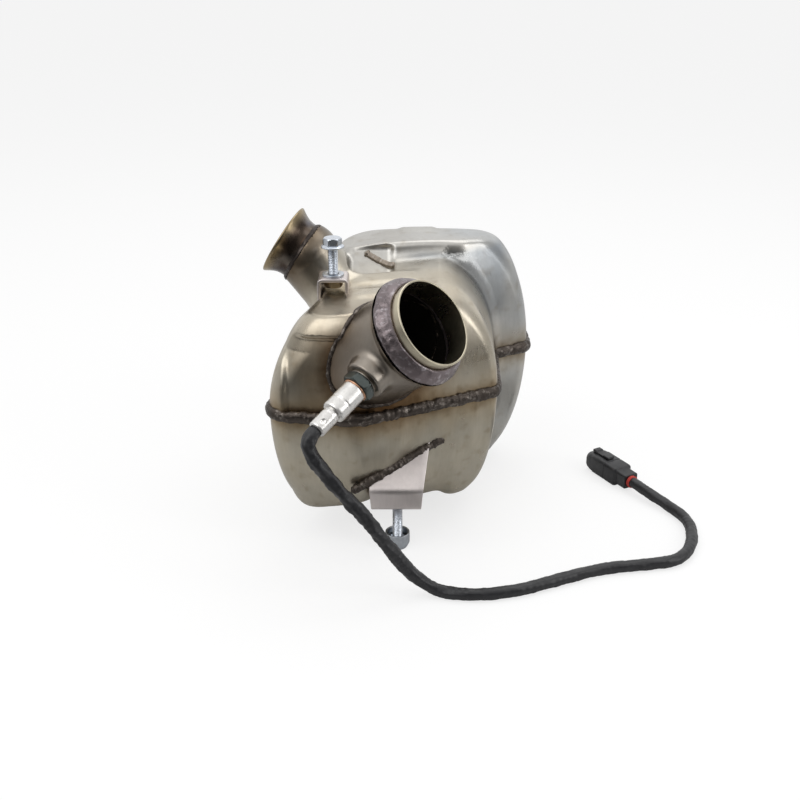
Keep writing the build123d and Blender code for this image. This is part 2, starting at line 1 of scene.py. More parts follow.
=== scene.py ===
import math
import bpy
import numpy as np
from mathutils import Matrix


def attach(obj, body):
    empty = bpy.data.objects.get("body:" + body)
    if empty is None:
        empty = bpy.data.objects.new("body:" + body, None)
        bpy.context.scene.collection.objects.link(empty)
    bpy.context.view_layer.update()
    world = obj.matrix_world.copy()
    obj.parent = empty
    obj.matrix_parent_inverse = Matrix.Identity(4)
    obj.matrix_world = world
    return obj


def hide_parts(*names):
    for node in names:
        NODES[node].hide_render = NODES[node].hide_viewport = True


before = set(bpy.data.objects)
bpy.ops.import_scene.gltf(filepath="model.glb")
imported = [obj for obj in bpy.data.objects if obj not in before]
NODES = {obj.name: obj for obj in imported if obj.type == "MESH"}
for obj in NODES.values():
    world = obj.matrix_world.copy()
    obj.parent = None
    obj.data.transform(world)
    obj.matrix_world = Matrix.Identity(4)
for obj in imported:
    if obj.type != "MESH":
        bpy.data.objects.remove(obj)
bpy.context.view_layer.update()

import openvdb
from mathutils import Vector, noise

MM = 0.001
# Sizes below are in millimetres, as in the part's source, and become metres when a mesh is made.
SEAM_Z = 115.0
CROWN_ANGLE = math.radians(80)
OUT_MOUTH = np.array([26.3, -14.4, 195.2])
OUT_DIR = np.array([0.65, -0.48, 0.59])
OUT_IN = -OUT_DIR / np.linalg.norm(OUT_DIR)
OUT_R = 36.9
OUT_FAR = 96                 # where the outlet pipe ends inside
LIP_AT = 17.4                # where its flared lip begins
NOWHERE = -99                # a field value far from any opening
IN_RIM = np.array([-93.0, 107.0, 223.0])
IN_DIR = np.array([0.836, -0.166, -0.523])
IN_DIR /= np.linalg.norm(IN_DIR)
SENSOR_DIR = np.array([-0.624, -0.645, -0.441])
SENSOR_DIR /= np.linalg.norm(SENSOR_DIR)
SENSOR_FOOT = OUT_MOUTH + OUT_IN * 33.4
BOSS_END = 46.5
BOSS_R = 16.0
IN_BORE_R = 22.4
IN_R = 24.0
# Origin and axis of the turned parts
OUTLET = (OUT_MOUTH, OUT_IN)
INLET = (IN_RIM, IN_DIR)
SENSOR = (SENSOR_FOOT, SENSOR_DIR)

# Camera, in metres and degrees
CAMERA_AT = (0.002, -0.768, 0.4695)
CAMERA_DOWN = 24
scene = bpy.context.scene
cam_data = bpy.data.cameras.new("camera")
cam_data.lens = 50
cam_data.sensor_width = 36
camera = bpy.data.objects.new("camera", cam_data)
camera.location = CAMERA_AT
camera.rotation_euler = (math.radians(90 - CAMERA_DOWN), 0, 0)
scene.collection.objects.link(camera)
scene.camera = camera


# Materials
CLOUD_DARK = 0.8


class Nodes:
    """Small helper that builds a node material, or fills a node tree that is given."""

    def __init__(self, name, tree=None):
        self.tree = tree
        if tree is None:
            self.mat = bpy.data.materials.new(name)
            self.mat.use_nodes = True
            self.tree = self.mat.node_tree
            self.bsdf = self.tree.nodes["Principled BSDF"]
            self.geo = self.add("ShaderNodeNewGeometry")

    def add(self, kind, **values):
        node = self.tree.nodes.new(kind)
        for key, value in values.items():
            setattr(node, key, value)
        return node

    def link(self, a, b):
        self.tree.links.new(a, b)

    def put(self, socket, value):
        if isinstance(value, bpy.types.NodeSocket):
            self.link(value, socket)
        else:
            socket.default_value = value

    def noise(self, scale, detail=3, rough=0.5, stretch=None):
        tex = self.add("ShaderNodeTexNoise")
        tex.inputs["Scale"].default_value = scale
        tex.inputs["Detail"].default_value = detail
        tex.inputs["Roughness"].default_value = rough
        source = self.geo.outputs["Position"]
        if stretch:
            scaled = self.add("ShaderNodeVectorMath", operation="MULTIPLY")
            self.put(scaled.inputs[0], source)
            self.put(scaled.inputs[1], stretch)
            source = scaled.outputs["Vector"]
        self.link(source, tex.inputs["Vector"])
        return tex.outputs["Fac"]

    def math(self, operation, a, b=0.0):
        node = self.add("ShaderNodeMath", operation=operation)
        self.put(node.inputs[0], a)
        self.put(node.inputs[1], b)
        return node.outputs[0]

    def gray(self, value):
        node = self.add("ShaderNodeCombineColor")
        for k in range(3):
            self.put(node.inputs[k], value)
        return node.outputs[0]

    def ramp(self, value, stops):
        """Grey stops, each a place and a value."""
        node = self.add("ShaderNodeValToRGB")
        elements = node.color_ramp.elements
        while len(elements) < len(stops):
            elements.new(0.5)
        for element, (at, gray) in zip(elements, stops):
            element.position = at
            element.color = (gray, gray, gray, 1)
        self.link(value, node.inputs[0])
        return node.outputs[0]

    def mix(self, factor, a, b, blend="MIX"):
        node = self.add("ShaderNodeMix", data_type="RGBA", blend_type=blend)
        self.put(node.inputs["Factor"], factor)
        for socket, value in ((node.inputs[6], a), (node.inputs[7], b)):
            if not isinstance(value, bpy.types.NodeSocket) and len(value) == 3:
                value = (*value, 1)
            self.put(socket, value)
        return node.outputs[2]

    def rise(self, value, low, high, strength=1.0, kind="SMOOTHSTEP"):
        """0 up to low, then rising to strength at high."""
        node = self.add("ShaderNodeMapRange", interpolation_type=kind)
        for key, given in (("Value", value), ("From Min", low), ("From Max", high),
                           ("To Max", strength)):
            self.put(node.inputs[key], given)
        return node.outputs[0]

    def split(self, vector):
        node = self.add("ShaderNodeSeparateXYZ")
        self.link(vector, node.inputs[0])
        return [node.outputs[k] for k in "XYZ"]

    def join(self, kind, *values):
        """A shader node with its inputs filled in order."""
        node = self.add(kind)
        for socket, value in zip(node.inputs, values):
            self.put(socket, value)
        return node.outputs[0]

    def bump(self, height, strength, distance):
        node = self.add("ShaderNodeBump")
        node.inputs["Strength"].default_value = strength
        node.inputs["Distance"].default_value = distance
        self.link(height, node.inputs["Height"])
        self.link(node.outputs[0], self.bsdf.inputs["Normal"])

    def surface(self, color, metal, rough):
        for key, value in (("Base Color", color), ("Metallic", metal), ("Roughness", rough)):
            self.put(self.bsdf.inputs[key], value)


def steel(name, color, rough, tint=True, scratch=0.25):
    """Rolled stainless sheet: cloudy colour, fine rolling lines and, if asked, painted tint."""
    m = Nodes(name)
    cloud = m.ramp(m.noise(16, 4, 0.6), [(0.35, 0.0), (0.68, 1.0)])
    shade = m.mix(cloud, tuple(c * CLOUD_DARK for c in color), color)
    fine = m.noise(420, 2, 0.6, (1, 1, 0.16))
    shade = m.mix(0.16, shade, m.ramp(fine, [(0.3, 0.55), (0.75, 1.0)]), "MULTIPLY")
    if tint:
        painted = m.add("ShaderNodeAttribute", attribute_name="tint").outputs["Color"]
        shade = m.mix(1.0, shade, painted, "MULTIPLY")
    spread = m.noise(30, 5, 0.65)
    m.surface(shade, 1.0, m.ramp(spread, [(0.3, rough - 0.07), (0.75, rough + 0.12)]))
    height = m.mix(0.5, m.noise(26, 2, 0.4), m.noise(420, 3, 0.6, (1, 1, 0.2)))
    m.bump(height, scratch, 0.0006)
    return m.mat


def weld_metal(name, color, bright, rough, grain=240):
    """Oxidised weld: dark with brighter spots."""
    m = Nodes(name)
    spots = m.ramp(m.noise(210, 4, 0.65), [(0.54, 0.0), (0.72, 1.0)])
    shade = m.mix(spots, color, bright)
    shade = m.mix(0.5, shade, m.ramp(m.noise(35, 3, 0.5), [(0.3, 0.35), (0.7, 1.0)]), "MULTIPLY")
    m.surface(shade, 0.85, m.ramp(m.noise(70, 3), [(0.3, rough - 0.12), (0.7, rough + 0.2)]))
    m.bump(m.noise(grain, 4, 0.6), 0.55, 0.0009)
    return m.mat


def plain_metal(name, color, rough, streak=(1, 1, 1), scale=300, strength=0.2):
    """Small metal part with fine grain, drawn out along streak."""
    m = Nodes(name)
    lines = m.ramp(m.noise(scale, 3, 0.6, streak), [(0.3, 0.85), (0.7, 1.0)])
    shade = m.mix(1.0, color, lines, "MULTIPLY")
    m.surface(shade, 1.0, m.ramp(m.noise(60, 3), [(0.3, rough - 0.06), (0.7, rough + 0.1)]))
    m.bump(m.noise(scale, 3, 0.6, streak), strength, 0.0004)
    return m.mat


def plastic(name, color, rough, grain=900, strength=0.12):
    """Moulding or rubber, lighter and darker by place."""
    m = Nodes(name)
    shade = m.mix(m.noise(80, 3), tuple(c * 0.7 for c in color), tuple(c * 1.35 for c in color))
    m.surface(shade, 0.0, m.ramp(m.noise(120, 3), [(0.3, rough - 0.08), (0.7, rough + 0.1)]))
    m.bump(m.noise(grain, 2), strength, 0.0003)
    return m.mat


MAT = {
    "shell": steel("shell_steel", (0.60, 0.575, 0.535), 0.31),
    "pan": steel("pan_steel", (0.56, 0.54, 0.50), 0.33),
    "pipe": steel("pipe_steel", (0.37, 0.33, 0.285), 0.32),
    "inlet": steel("inlet_steel", (0.36, 0.325, 0.285), 0.24, scratch=0.3),
    "stub": steel("stub_steel", (0.66, 0.60, 0.46), 0.28, tint=False),
    "bracket": steel("bracket_steel", (0.74, 0.68, 0.66), 0.38, tint=False, scratch=0.4),
    "weld": weld_metal("weld_dark", (0.085, 0.07, 0.06), (0.36, 0.32, 0.285), 0.36, 300),
    "burnt": weld_metal("weld_burnt", (0.055, 0.045, 0.04), (0.17, 0.14, 0.12), 0.38),
    "collar": weld_metal("weld_collar", (0.215, 0.18, 0.185), (0.48, 0.44, 0.46), 0.28, 170),
    "bead": weld_metal("weld_light", (0.34, 0.29, 0.24), (0.55, 0.50, 0.44), 0.35),
    # Near-black, for the insides of the pipes and for the hidden parts.
    "inside": plain_metal("inside_near_black", (0.03, 0.026, 0.022), 0.75, strength=0.05),
    "zinc": plain_metal("zinc_plate", (0.62, 0.66, 0.72), 0.28, scale=500),
    "brass": plain_metal("yellow_zinc", (0.46, 0.37, 0.24), 0.32, scale=500),
    "cup": plain_metal("cup_zinc", (0.50, 0.53, 0.57), 0.35, scale=400),
    "steel_ring": plain_metal("gasket_steel", (0.42, 0.38, 0.33), 0.36, scale=400),
    "hex": plain_metal("dark_hex", (0.10, 0.115, 0.11), 0.30),
    "copper": plain_metal("copper_ring", (0.70, 0.40, 0.26), 0.3),
    "sleeve": plain_metal("bright_sleeve", (0.80, 0.785, 0.76), 0.30, (1, 1, 0.2), 400, 0.04),
    "lead": plastic("lead_sleeve", (0.012, 0.012, 0.014), 0.40, 700, 0.25),
    "black": plastic("black_moulding", (0.012, 0.012, 0.014), 0.40),
    "grommet": plastic("grommet_rubber", (0.02, 0.02, 0.02), 0.6),
    "red": plastic("seal_red", (0.45, 0.03, 0.02), 0.45),
    "ceramic": plain_metal("ceramic_core", (0.12, 0.11, 0.09), 0.8),
}


# Mesh helpers
def piece(name, verts, faces, material, slot, replaced=(), normals=None, tint=None, sharp=0):
    """A mesh object from points in millimetres, riding on the body. Edges over sharp degrees
    stay crisp where it is given."""
    mesh = bpy.data.meshes.new(name)
    verts = np.asarray(verts, float) * MM
    mesh.from_pydata(verts.tolist(), [], [list(map(int, f)) for f in faces])
    mesh.polygons.foreach_set("use_smooth", [True] * len(mesh.polygons))
    if sharp:
        mesh.set_sharp_from_angle(angle=math.radians(sharp))
    if tint is not None:
        layer = mesh.color_attributes.new("tint", "FLOAT_COLOR", "POINT")
        rgba = np.ones((len(verts), 4), np.float32)
        rgba[:, :3] = tint
        layer.data.foreach_set("color", rgba.ravel())
    if normals is not None:
        mesh.normals_split_custom_set_from_vertices(normals.tolist())
    mesh.materials.append(MAT[material])
    mesh.update()
    obj = bpy.data.objects.new(name, mesh)
    scene.collection.objects.link(obj)
    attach(obj, "root")
    if replaced:
        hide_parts(*replaced)
    return obj


def frame_of(direction):
    """Two unit vectors square to a direction."""
    d = np.asarray(direction, float)
    d = d / np.linalg.norm(d)
    a = np.cross(d, [0, 0, 1.0]) if abs(d[2]) < 0.95 else np.cross(d, [0, 1.0, 0])
    a /= np.linalg.norm(a)
    return a, np.cross(d, a)


def rounded(points, radius, closed=True):
    """Corners of a (radius, distance) outline replaced by small arcs."""
    out = []
    n = len(points)
    for i, p in enumerate(points):
        if not closed and i in (0, n - 1):
            out.append(tuple(p))
            continue
        p = np.array(p, float)
        a = np.array(points[i - 1], float) - p
        b = np.array(points[(i + 1) % n], float) - p
        la, lb = np.linalg.norm(a), np.linalg.norm(b)
        cut = min(radius, 0.45 * la, 0.45 * lb)
        out += [tuple(p + a / la * cut * (1 - t) ** 2 + b / lb * cut * t ** 2)
                for t in (0.0, 0.25, 0.5, 0.75, 1.0)]
    return out


def ring_faces(rings, sides, closed=False, wrap=True):
    """Faces between rings of points. Rings that aren't closed into a loop get a cap at each end."""
    faces = []
    for i in range(rings if closed else rings - 1):
        j = (i + 1) % rings
        for k in range(sides if wrap else sides - 1):
            m = (k + 1) % sides
            faces.append((i * sides + k, i * sides + m, j * sides + m, j * sides + k))
    if not closed:
        faces.append(tuple(range(sides))[::-1])
        faces.append(tuple((rings - 1) * sides + k for k in range(sides)))
    return faces


def revolve(origin, direction, outline, segments=96, closed=True, wobble=None, start=0.0):
    """Vertices and faces of a turned form. outline gives (radius, distance); wobble(angle, r, s)
    adds to the radius."""
    a, b = frame_of(direction)
    d = np.asarray(direction, float) / np.linalg.norm(direction)
    verts = []
    for k in range(segments):
        t = 2 * math.pi * k / segments + start
        side = a * math.cos(t) + b * math.sin(t)
        for r, s in outline:
            grow = wobble(t, r, s) if wobble else 0.0
            verts.append(origin + d * s + side * max(r + grow, 0.0))
    return verts, ring_faces(segments, len(outline), closed=True, wrap=closed)


def around(t, r, s):
    """A point on a turned form, with its axis upright."""
    return r * math.cos(t), r * math.sin(t), s


def rough(p, scale, octaves=3):
    """Signed noise of a point in millimetres."""
    return noise.fractal(Vector(p) * scale, 1.0, 2.0, octaves)


def sweep(points, radius_at, sides=16, closed=False, flat=1.0, up=None):
    """A tube of varying radius along points; radius_at(station, angle, place) gives its radius."""
    pts = np.asarray(points, float)
    n = len(pts)
    if closed:
        tangents = np.roll(pts, -1, 0) - np.roll(pts, 1, 0)
    else:
        tangents = np.gradient(pts, axis=0)
    tangents /= np.linalg.norm(tangents, axis=1)[:, None]
    normal = np.asarray(up if up is not None else frame_of(tangents[0])[0], float)
    verts = []
    for i in range(n):
        t = tangents[i]
        if up is not None:
            normal = np.asarray(up, float)
        normal = normal - t * (normal @ t)
        normal /= np.linalg.norm(normal)
        side = np.cross(t, normal)
        for k in range(sides):
            angle = 2 * math.pi * k / sides
            r = radius_at(i, angle, pts[i])
            verts.append(pts[i] + r * (math.cos(angle) * side + flat * math.sin(angle) * normal))
    return verts, ring_faces(n, sides, closed)


def washer(bore, radius, start, end, edge):
    """Outline of a plain ring with rounded edges."""
    return rounded([(bore, start), (radius, start), (radius, end), (bore, end)], edge)


def even(outline, spacing):
    """A closed outline that keeps its corners, with points at about this spacing between."""
    out = []
    for (r0, s0), (r1, s1) in zip(outline, outline[1:] + outline[:1]):
        n = max(1, int(math.hypot(r1 - r0, s1 - s0) / spacing))
        out += [(r0 + (r1 - r0) * k / n, s0 + (s1 - s0) * k / n) for k in range(n)]
    return out


def turned(name, place, outline, segments, look, slot, node, wobble=None, sharp=40):
    """A turned form as a piece; place is its origin and its axis."""
    piece(name, *revolve(*place, outline, segments, wobble=wobble), look, slot, [node], sharp=sharp)


# Places along the sensor's axis, and the cord that leaves it
ABOVE_FLOOR = 0.05
HEX_AT = BOSS_END + 1.2
RING_AT = HEX_AT + 7.8
SLEEVE_AT = RING_AT + 1.2
CAP_AT = SLEEVE_AT + 24.3
GROMMET_AT = CAP_AT + 18.0
LEAD_AT = GROMMET_AT + 0.8
HEX_TURN = 0.3
exit_at = SENSOR_FOOT + SENSOR_DIR * LEAD_AT
PLUG_AT = np.array([205.7, 90.1, 8.5])
PLUG_DIR = np.array([-0.48, 0.877, 0.0])
PLUG_DIR /= np.linalg.norm(PLUG_DIR)
ROUTE = [exit_at, exit_at + SENSOR_DIR * 4.0] + [np.array(p, float) for p in (
    (-61.9, -68.2, 126.7), (-62.1, -70.8, 122.4), (-60.4, -72.5, 117.4), (-54.8, -73.7, 109.2),
    (-41.6, -76.3, 92), (-22, -79, 70), (-7, -76, 46), (9, -72, 20), (29, -72, 4.5),
    (52, -78, 4.5), (84, -74, 4.5), (122, -57, 4.5), (157, -41, 4.5), (193, -36, 4.5),
    (222, -29, 4.5), (238, 2, 4.5), (241, 34, 4.5), (228, 58, 4.5))]
ROUTE += [PLUG_AT - PLUG_DIR * 19.0, PLUG_AT]


def cord_path():
    """Points along the smooth line that the route controls."""
    curve = bpy.data.curves.new("route", "CURVE")
    curve.dimensions = "3D"
    spline = curve.splines.new("NURBS")
    spline.points.add(len(ROUTE) - 1)
    for point, at in zip(spline.points, ROUTE):
        point.co = (*(at * MM), 1)
    spline.order_u = 3
    spline.use_endpoint_u = True
    spline.resolution_u = 40
    obj = bpy.data.objects.new("route", curve)
    mesh = bpy.data.meshes.new_from_object(obj)
    points = np.array([v.co for v in mesh.vertices]) / MM
    bpy.data.objects.remove(obj)
    return points


def resample(points, spacing):
    """Points at an even spacing along a line, and the line's length."""
    steps = np.linalg.norm(np.diff(points, axis=0), axis=1)
    along = np.concatenate([[0], np.cumsum(steps)])
    at = np.linspace(0, along[-1], int(along[-1] / spacing) + 1)
    return np.stack([np.interp(at, along, points[:, i]) for i in range(3)], 1), along[-1]


cord_line, cord_long = resample(cord_path(), 1.0)


def cord_radius(i, angle, at):
    """The soft sleeve bulges and creases, most where it bends down from the sensor."""
    loose = 0.35 + 0.65 * min(1.0, max(0.0, (190 - i) / 60))
    wrinkle = noise.noise(Vector((i * 0.10, 1.7 * math.cos(angle), 1.7 * math.sin(angle))))
    crease = noise.noise(Vector((i * 0.36 + 50, 1.2 * math.cos(angle), 1.2 * math.sin(angle))))
    return 4.35 + loose * (0.75 + 1.3 * wrinkle + 0.45 * crease) + 0.12 * crease


verts, faces = sweep(cord_line, cord_radius, 24)
verts = [(x, y, max(z, ABOVE_FLOOR)) for x, y, z in verts]
lead = piece("lead_sleeve", verts, faces, "lead", "lead", ["sensor_lead"])


# Pressed shells, as the zero surface of a distance field
def lobe(P, corners, crowns, radii, rise, slope=(0, 0), pivot=(0, 0), extra=0.0):
    """Field of a lobe whose sides lean in as quarter ellipses; below zero inside."""
    x, y, z = P
    sign = 1 if rise > 0 else -1
    high = abs(rise) + sign * (slope[0] * (x - pivot[0]) + slope[1] * (y - pivot[1])) + extra
    share = np.clip((z - SEAM_Z) * sign / high, 0, 1)
    lean = 1 - np.cos(np.arcsin(share * math.sin(CROWN_ANGLE)))
    n = len(corners)
    points = np.array(corners, float)
    runs = np.roll(points, -1, 0) - points
    longs = np.linalg.norm(runs, axis=1)
    runs = runs / longs[:, None]
    normals = np.stack([runs[:, 1], -runs[:, 0]], 1)
    bases = (normals * points).sum(1)
    # Corners and side lengths move in step with the lean, so one unit of lean gives the rate.
    moved = np.array([np.linalg.solve([normals[i - 1], normals[i]],
                                      [bases[i - 1] - crowns[i - 1], bases[i] - crowns[i]])
                      for i in range(n)])
    rates = ((np.roll(moved, -1, 0) - moved) * runs).sum(1) - longs
    sides = [normals[i][0] * x + normals[i][1] * y - bases[i] + crowns[i] * lean for i in range(n)]
    turns = [np.cross(runs[i - 1], runs[i]) for i in range(n)]
    f = np.full_like(sides[0], -999)
    for i in range(n):
        if turns[i] > 0 and turns[(i + 1) % n] > 0:
            f = np.maximum(f, sides[i])
    for i in range(n):
        j = i - 1
        bend = 1 if turns[i] > 0 else -1
        half = math.tan((math.pi - math.acos(runs[j] @ runs[i])) / 2)
        room = np.minimum(longs[j] + rates[j] * lean, longs[i] + rates[i] * lean)
        r = np.minimum(radii[i] + (crowns[i] + crowns[j]) * lean / 2, 0.48 * room * half)
        oi = bases[i] - crowns[i] * lean - bend * r
        oj = bases[j] - crowns[j] * lean - bend * r
        det = normals[j][0] * normals[i][1] - normals[j][1] * normals[i][0]
        px = x - (oj * normals[i][1] - oi * normals[j][1]) / det
        py = y - (oi * normals[j][0] - oj * normals[i][0]) / det
        wedge = (px * runs[j][0] + py * runs[j][1] > 0) & (px * runs[i][0] + py * runs[i][1] < 0)
        corner = bend * (np.hypot(px, py) - r)
        if bend > 0:
            f = np.where(wedge, np.maximum(f, corner), f)
        else:
            f = np.maximum(f, np.where(wedge, corner, np.minimum(sides[i], sides[j])))
    return soft_max(f, (z - SEAM_Z) * sign - high, 2.0)


def soft_min(a, b, r):
    h = np.clip(0.5 + 0.5 * (b - a) / r, 0, 1)
    return b + (a - b) * h - r * h * (1 - h)


def soft_max(a, b, r):
    return -soft_min(-a, -b, r)


def step(x, low, high):
    t = np.clip((x - low) / (high - low), 0, 1)
    return t * t * (3 - 2 * t)


def window(x, low, high, edge):
    return step(x, low - edge / 2, low + edge / 2) * (1 - step(x, high - edge / 2, high + edge / 2))


def unit_field(field, P):
    """A field divided by its slope, so that it measures distance near its surface."""
    e = 0.4
    f = field(P)
    x, y, z = P
    if f.ndim == 3:
        gx, gy, gz = np.gradient(f, GRID_STEP)
    else:
        gx = (field((x + e, y, z)) - f) / e
        gy = (field((x, y + e, z)) - f) / e
        gz = (field((x, y, z + e)) - f) / e
    slope = np.sqrt(gx ** 2 + gy ** 2 + gz ** 2)
    return f / np.clip(slope, 0.5, 6)


GRID_STEP = 1.5
FRONT_LEFT = (-105, 0)
NOSE = (-30, -12)
FRONT_RIGHT = (80, 46)
STEP_BACK = (84, 178)        # hidden inside the rear lobe
WAIST = (-66, 107)
FACE_RISE = (FRONT_RIGHT[1] - NOSE[1]) / (FRONT_RIGHT[0] - NOSE[0])


def on_face(x, inset=0.0):
    return (x, NOSE[1] + (x - NOSE[0]) * FACE_RISE + inset * math.hypot(1, FACE_RISE))


def front_lobe(P):
    x, y, _ = P
    ribs = window(y, 40, 58, 10) + window(y, 68, 90, 10)
    return lobe(P, [FRONT_LEFT, NOSE, FRONT_RIGHT, STEP_BACK, (-58, 178), WAIST],
                [22, 24, 56, 12, 18, 35], [18, 45, 10, 10, 10, 40], 85.5, (0.085, 0.06), (0, 90),
                1.6 * ribs * window(x, -38, 14, 20))


def rear_corners(x, y):
    return [(WAIST[0], 108), (x, y), (113.5, 144), (113.5, 206), (-52, 214)]


def rear_lobe(P):
    x, y, z = P
    pad = 1.5 * window(x, 2, 32, 7) * window(y, 150, 190, 20)
    flat = lobe(P, rear_corners(56, 112), [16, 18, 52, 62, 22], [10, 24, 12, 40, 34], 104,
                (0.02, 0.0), (40, 0), pad)
    dome_r = 348
    dome = np.hypot(x - 30, z - (217.3 - dome_r)) - dome_r - pad
    return soft_max(flat, dome, 5.0)


def left_pan(P):
    return lobe(P, [FRONT_LEFT, NOSE, on_face(6), (6, 152), (-60, 152), WAIST],
                [21, 20, 26, 10, 22, 17], [18, 45, 10, 10, 10, 40], -87, (0.18, 0.0), (-64, 0))


def right_pan(P):
    return lobe(P, [on_face(20), FRONT_RIGHT, (84, 152), (20, 152)],
                [22, 26, 10, 20], [10] * 4, -95)


def bridge_pan(P):
    return lobe(P, [on_face(-22, 0.6), on_face(62, 0.6), (62, 150), (-22, 150)],
                [20, 10, 10, 10], [8] * 4, -87)


def rear_pan(P):
    return lobe(P, rear_corners(58, 114), [30, 29, 46, 44, 32], [10, 24, 12, 40, 34], -115)


def axis_split(P, origin, direction):
    """How far along an axis points lie, and how far off it."""
    x, y, z = P
    qx, qy, qz = x - origin[0], y - origin[1], z - origin[2]
    s = qx * direction[0] + qy * direction[1] + qz * direction[2]
    rho = np.sqrt(np.maximum(qx ** 2 + qy ** 2 + qz ** 2 - s ** 2, 0))
    return s, rho


NECK_AT = 20                 # where the neck meets the inlet pipe
NECK_BEND = IN_RIM + IN_DIR * 24
NECK_LONG = 34
NECK_DIR = np.array([0.64, -0.10, -0.79])
NECK_DIR /= np.linalg.norm(NECK_DIR)
NECK_END = NECK_BEND + NECK_DIR * NECK_LONG


def far_from(P, at):
    return np.sqrt((P[0] - at[0]) ** 2 + (P[1] - at[1]) ** 2 + (P[2] - at[2]) ** 2)


def neck(P):
    s, rho = axis_split(P, NECK_BEND, NECK_DIR)
    run = np.maximum(rho - 25.8, np.maximum(-s, s - NECK_LONG))
    ends = np.minimum(far_from(P, NECK_BEND), far_from(P, NECK_END)) - 26.3
    return np.maximum(np.minimum(run, ends), NECK_AT - axis_split(P, *INLET)[0])


def rounded_box(P, at, size, tilt, radius):
    """Field of a box with round edges, tilted about the x axis."""
    x, y, z = P
    c, s = math.cos(tilt), math.sin(tilt)
    px = x - at[0]
    py = (y - at[1]) * c + (z - at[2]) * s
    pz = -(y - at[1]) * s + (z - at[2]) * c
    q = [np.abs(p) - half / 2 + radius for p, half in zip((px, py, pz), size)]
    out = np.sqrt(sum(np.maximum(c, 0) ** 2 for c in q))
    return out + np.minimum(np.maximum(q[0], np.maximum(q[1], q[2])), 0) - radius


POCKET_AT = (-22, 106, 208)
POCKET_TILT = math.radians(45)


def upper_field(P):
    """The upper shell, and the openings that the two pipes cut in its near side."""
    x, y, z = P
    f = soft_min(unit_field(front_lobe, P), unit_field(rear_lobe, P), 9.0)
    f = soft_min(f, neck(P), 7.0)
    pocket = rounded_box(P, POCKET_AT, (38, 34, 24), POCKET_TILT, 6)
    f = soft_max(f, -pocket, 2.5)
    sunk = window(x, -85, -20, 7) * window(z, 106, 176 + 0.05 * (x + 60), 5) * (1 - step(y, 8, 16))
    f = f + 3.4 * sunk
    s, rho = axis_split(P, *OUTLET)
    outlet = np.where((s > 0) & (s < 100), OUT_R - 1.5 - rho, NOWHERE)
    s, rho = axis_split(P, *INLET)
    return f, np.maximum(outlet, np.where(s < 30, 23.2 - rho, NOWHERE))


def lower_field(P):
    left, right = unit_field(left_pan, P), unit_field(right_pan, P)
    f = soft_min(left, unit_field(bridge_pan, P), 10.0)
    f = soft_min(f, right, 9.0)
    f = soft_min(f, unit_field(rear_pan, P), 12.0)
    return f, np.full_like(f, NOWHERE)


def gradient_at(field, points):
    """Slope of a field by central differences."""
    e = 0.5
    P = points.T
    out = []
    for axis in range(3):
        up, down = P.copy(), P.copy()
        up[axis] += e
        down[axis] -= e
        out.append((field(up)[0] - field(down)[0]) / (2 * e))
    return np.stack(out, 1)


def skin(field, low, high, keep, pitch=GRID_STEP):
    """The zero surface of a field as quads, settled on the surface, with its normals."""
    low = np.array(low, float)
    axes = [l + pitch * np.arange(int((h - l) / pitch) + 1) for l, h in zip(low, high)]
    f, _ = field(np.meshgrid(*axes, indexing="ij"))
    grid = openvdb.FloatGrid()
    grid.copyFromArray(np.clip(f, -9, 9).astype(np.float32))
    points, quads = grid.convertToQuads(0.0)
    points = points * pitch + low
    for _ in range(3):
        value = field(points.T)[0]
        slope = gradient_at(field, points)
        move = slope * (value / np.maximum((slope ** 2).sum(1), 0.2))[:, None]
        size = np.linalg.norm(move, axis=1)
        points -= move * np.minimum(1, 1.2 / np.maximum(size, 1e-6))[:, None]
    good = keep(points) & (field(points.T)[1] < 0)
    quads = quads[good[quads].all(1)]
    used = np.unique(quads)
    points = points[used]
    normals = gradient_at(field, points)
    normals /= np.linalg.norm(normals, axis=1)[:, None]
    quads = np.searchsorted(used, quads)
    corner = points[quads]
    face_normals = np.cross(corner[:, 2] - corner[:, 0], corner[:, 3] - corner[:, 1])
    if (np.einsum("ij,ij->i", face_normals, normals[quads[:, 0]]) < 0).mean() > 0.5:
        quads = quads[:, ::-1]
    return points, quads, normals


def near_line(points, line, reach):
    """1 on a polyline, falling to 0 at reach."""
    best = np.full(len(points), 1e9)
    for q in line:
        best = np.minimum(best, ((points - q) ** 2).sum(1))
    return np.clip(1 - np.sqrt(best) / reach, 0, 1)


def seam_line():
    """The body's outline at the seam, evenly spaced."""
    count = 720
    angles = np.linspace(0, 2 * math.pi, count + 1)[:-1]
    low, high = np.full(count, 20.0), np.full(count, 190.0)

    def place(r, z):
        return 10.0 + np.cos(angles) * r, 96.0 + np.sin(angles) * r, np.full(count, z)

    for _ in range(40):
        middle = (low + high) / 2
        P = place(middle, SEAM_Z + 0.01)
        inside = np.minimum(front_lobe(P), rear_lobe(P)) < 0
        low, high = np.where(inside, middle, low), np.where(inside, high, middle)
    ring = np.stack(place(low, SEAM_Z), 1)
    points, _ = resample(np.vstack([ring, ring[:1]]), 0.9)
    return points[:-1]


def root_line():
    """Where the outlet pipe enters the body's skin."""
    a, b = frame_of(OUT_IN)
    ring = []
    s = np.arange(20, 130, 0.5)
    for k in range(240):
        t = 2 * math.pi * k / 240
        side = a * math.cos(t) + b * math.sin(t)
        P = OUT_MOUTH[:, None] + OUT_IN[:, None] * s + (OUT_R * side)[:, None]
        f = upper_field(P)[0]
        f = np.where(P[2] > SEAM_Z - 2, f, 1.0)
        inside = np.argmax(f < 0)
        if f[inside] < 0:
            ring.append(P[:, inside])
    points, _ = resample(np.array(ring + ring[:1]), 0.8)
    return points[:-1]


seam = seam_line()
root = root_line()


def laid(tint, amount, color):
    """A tint with a colour laid over it, in full where amount is 1."""
    return tint * (1 - amount[:, None] * (1 - np.array(color)))


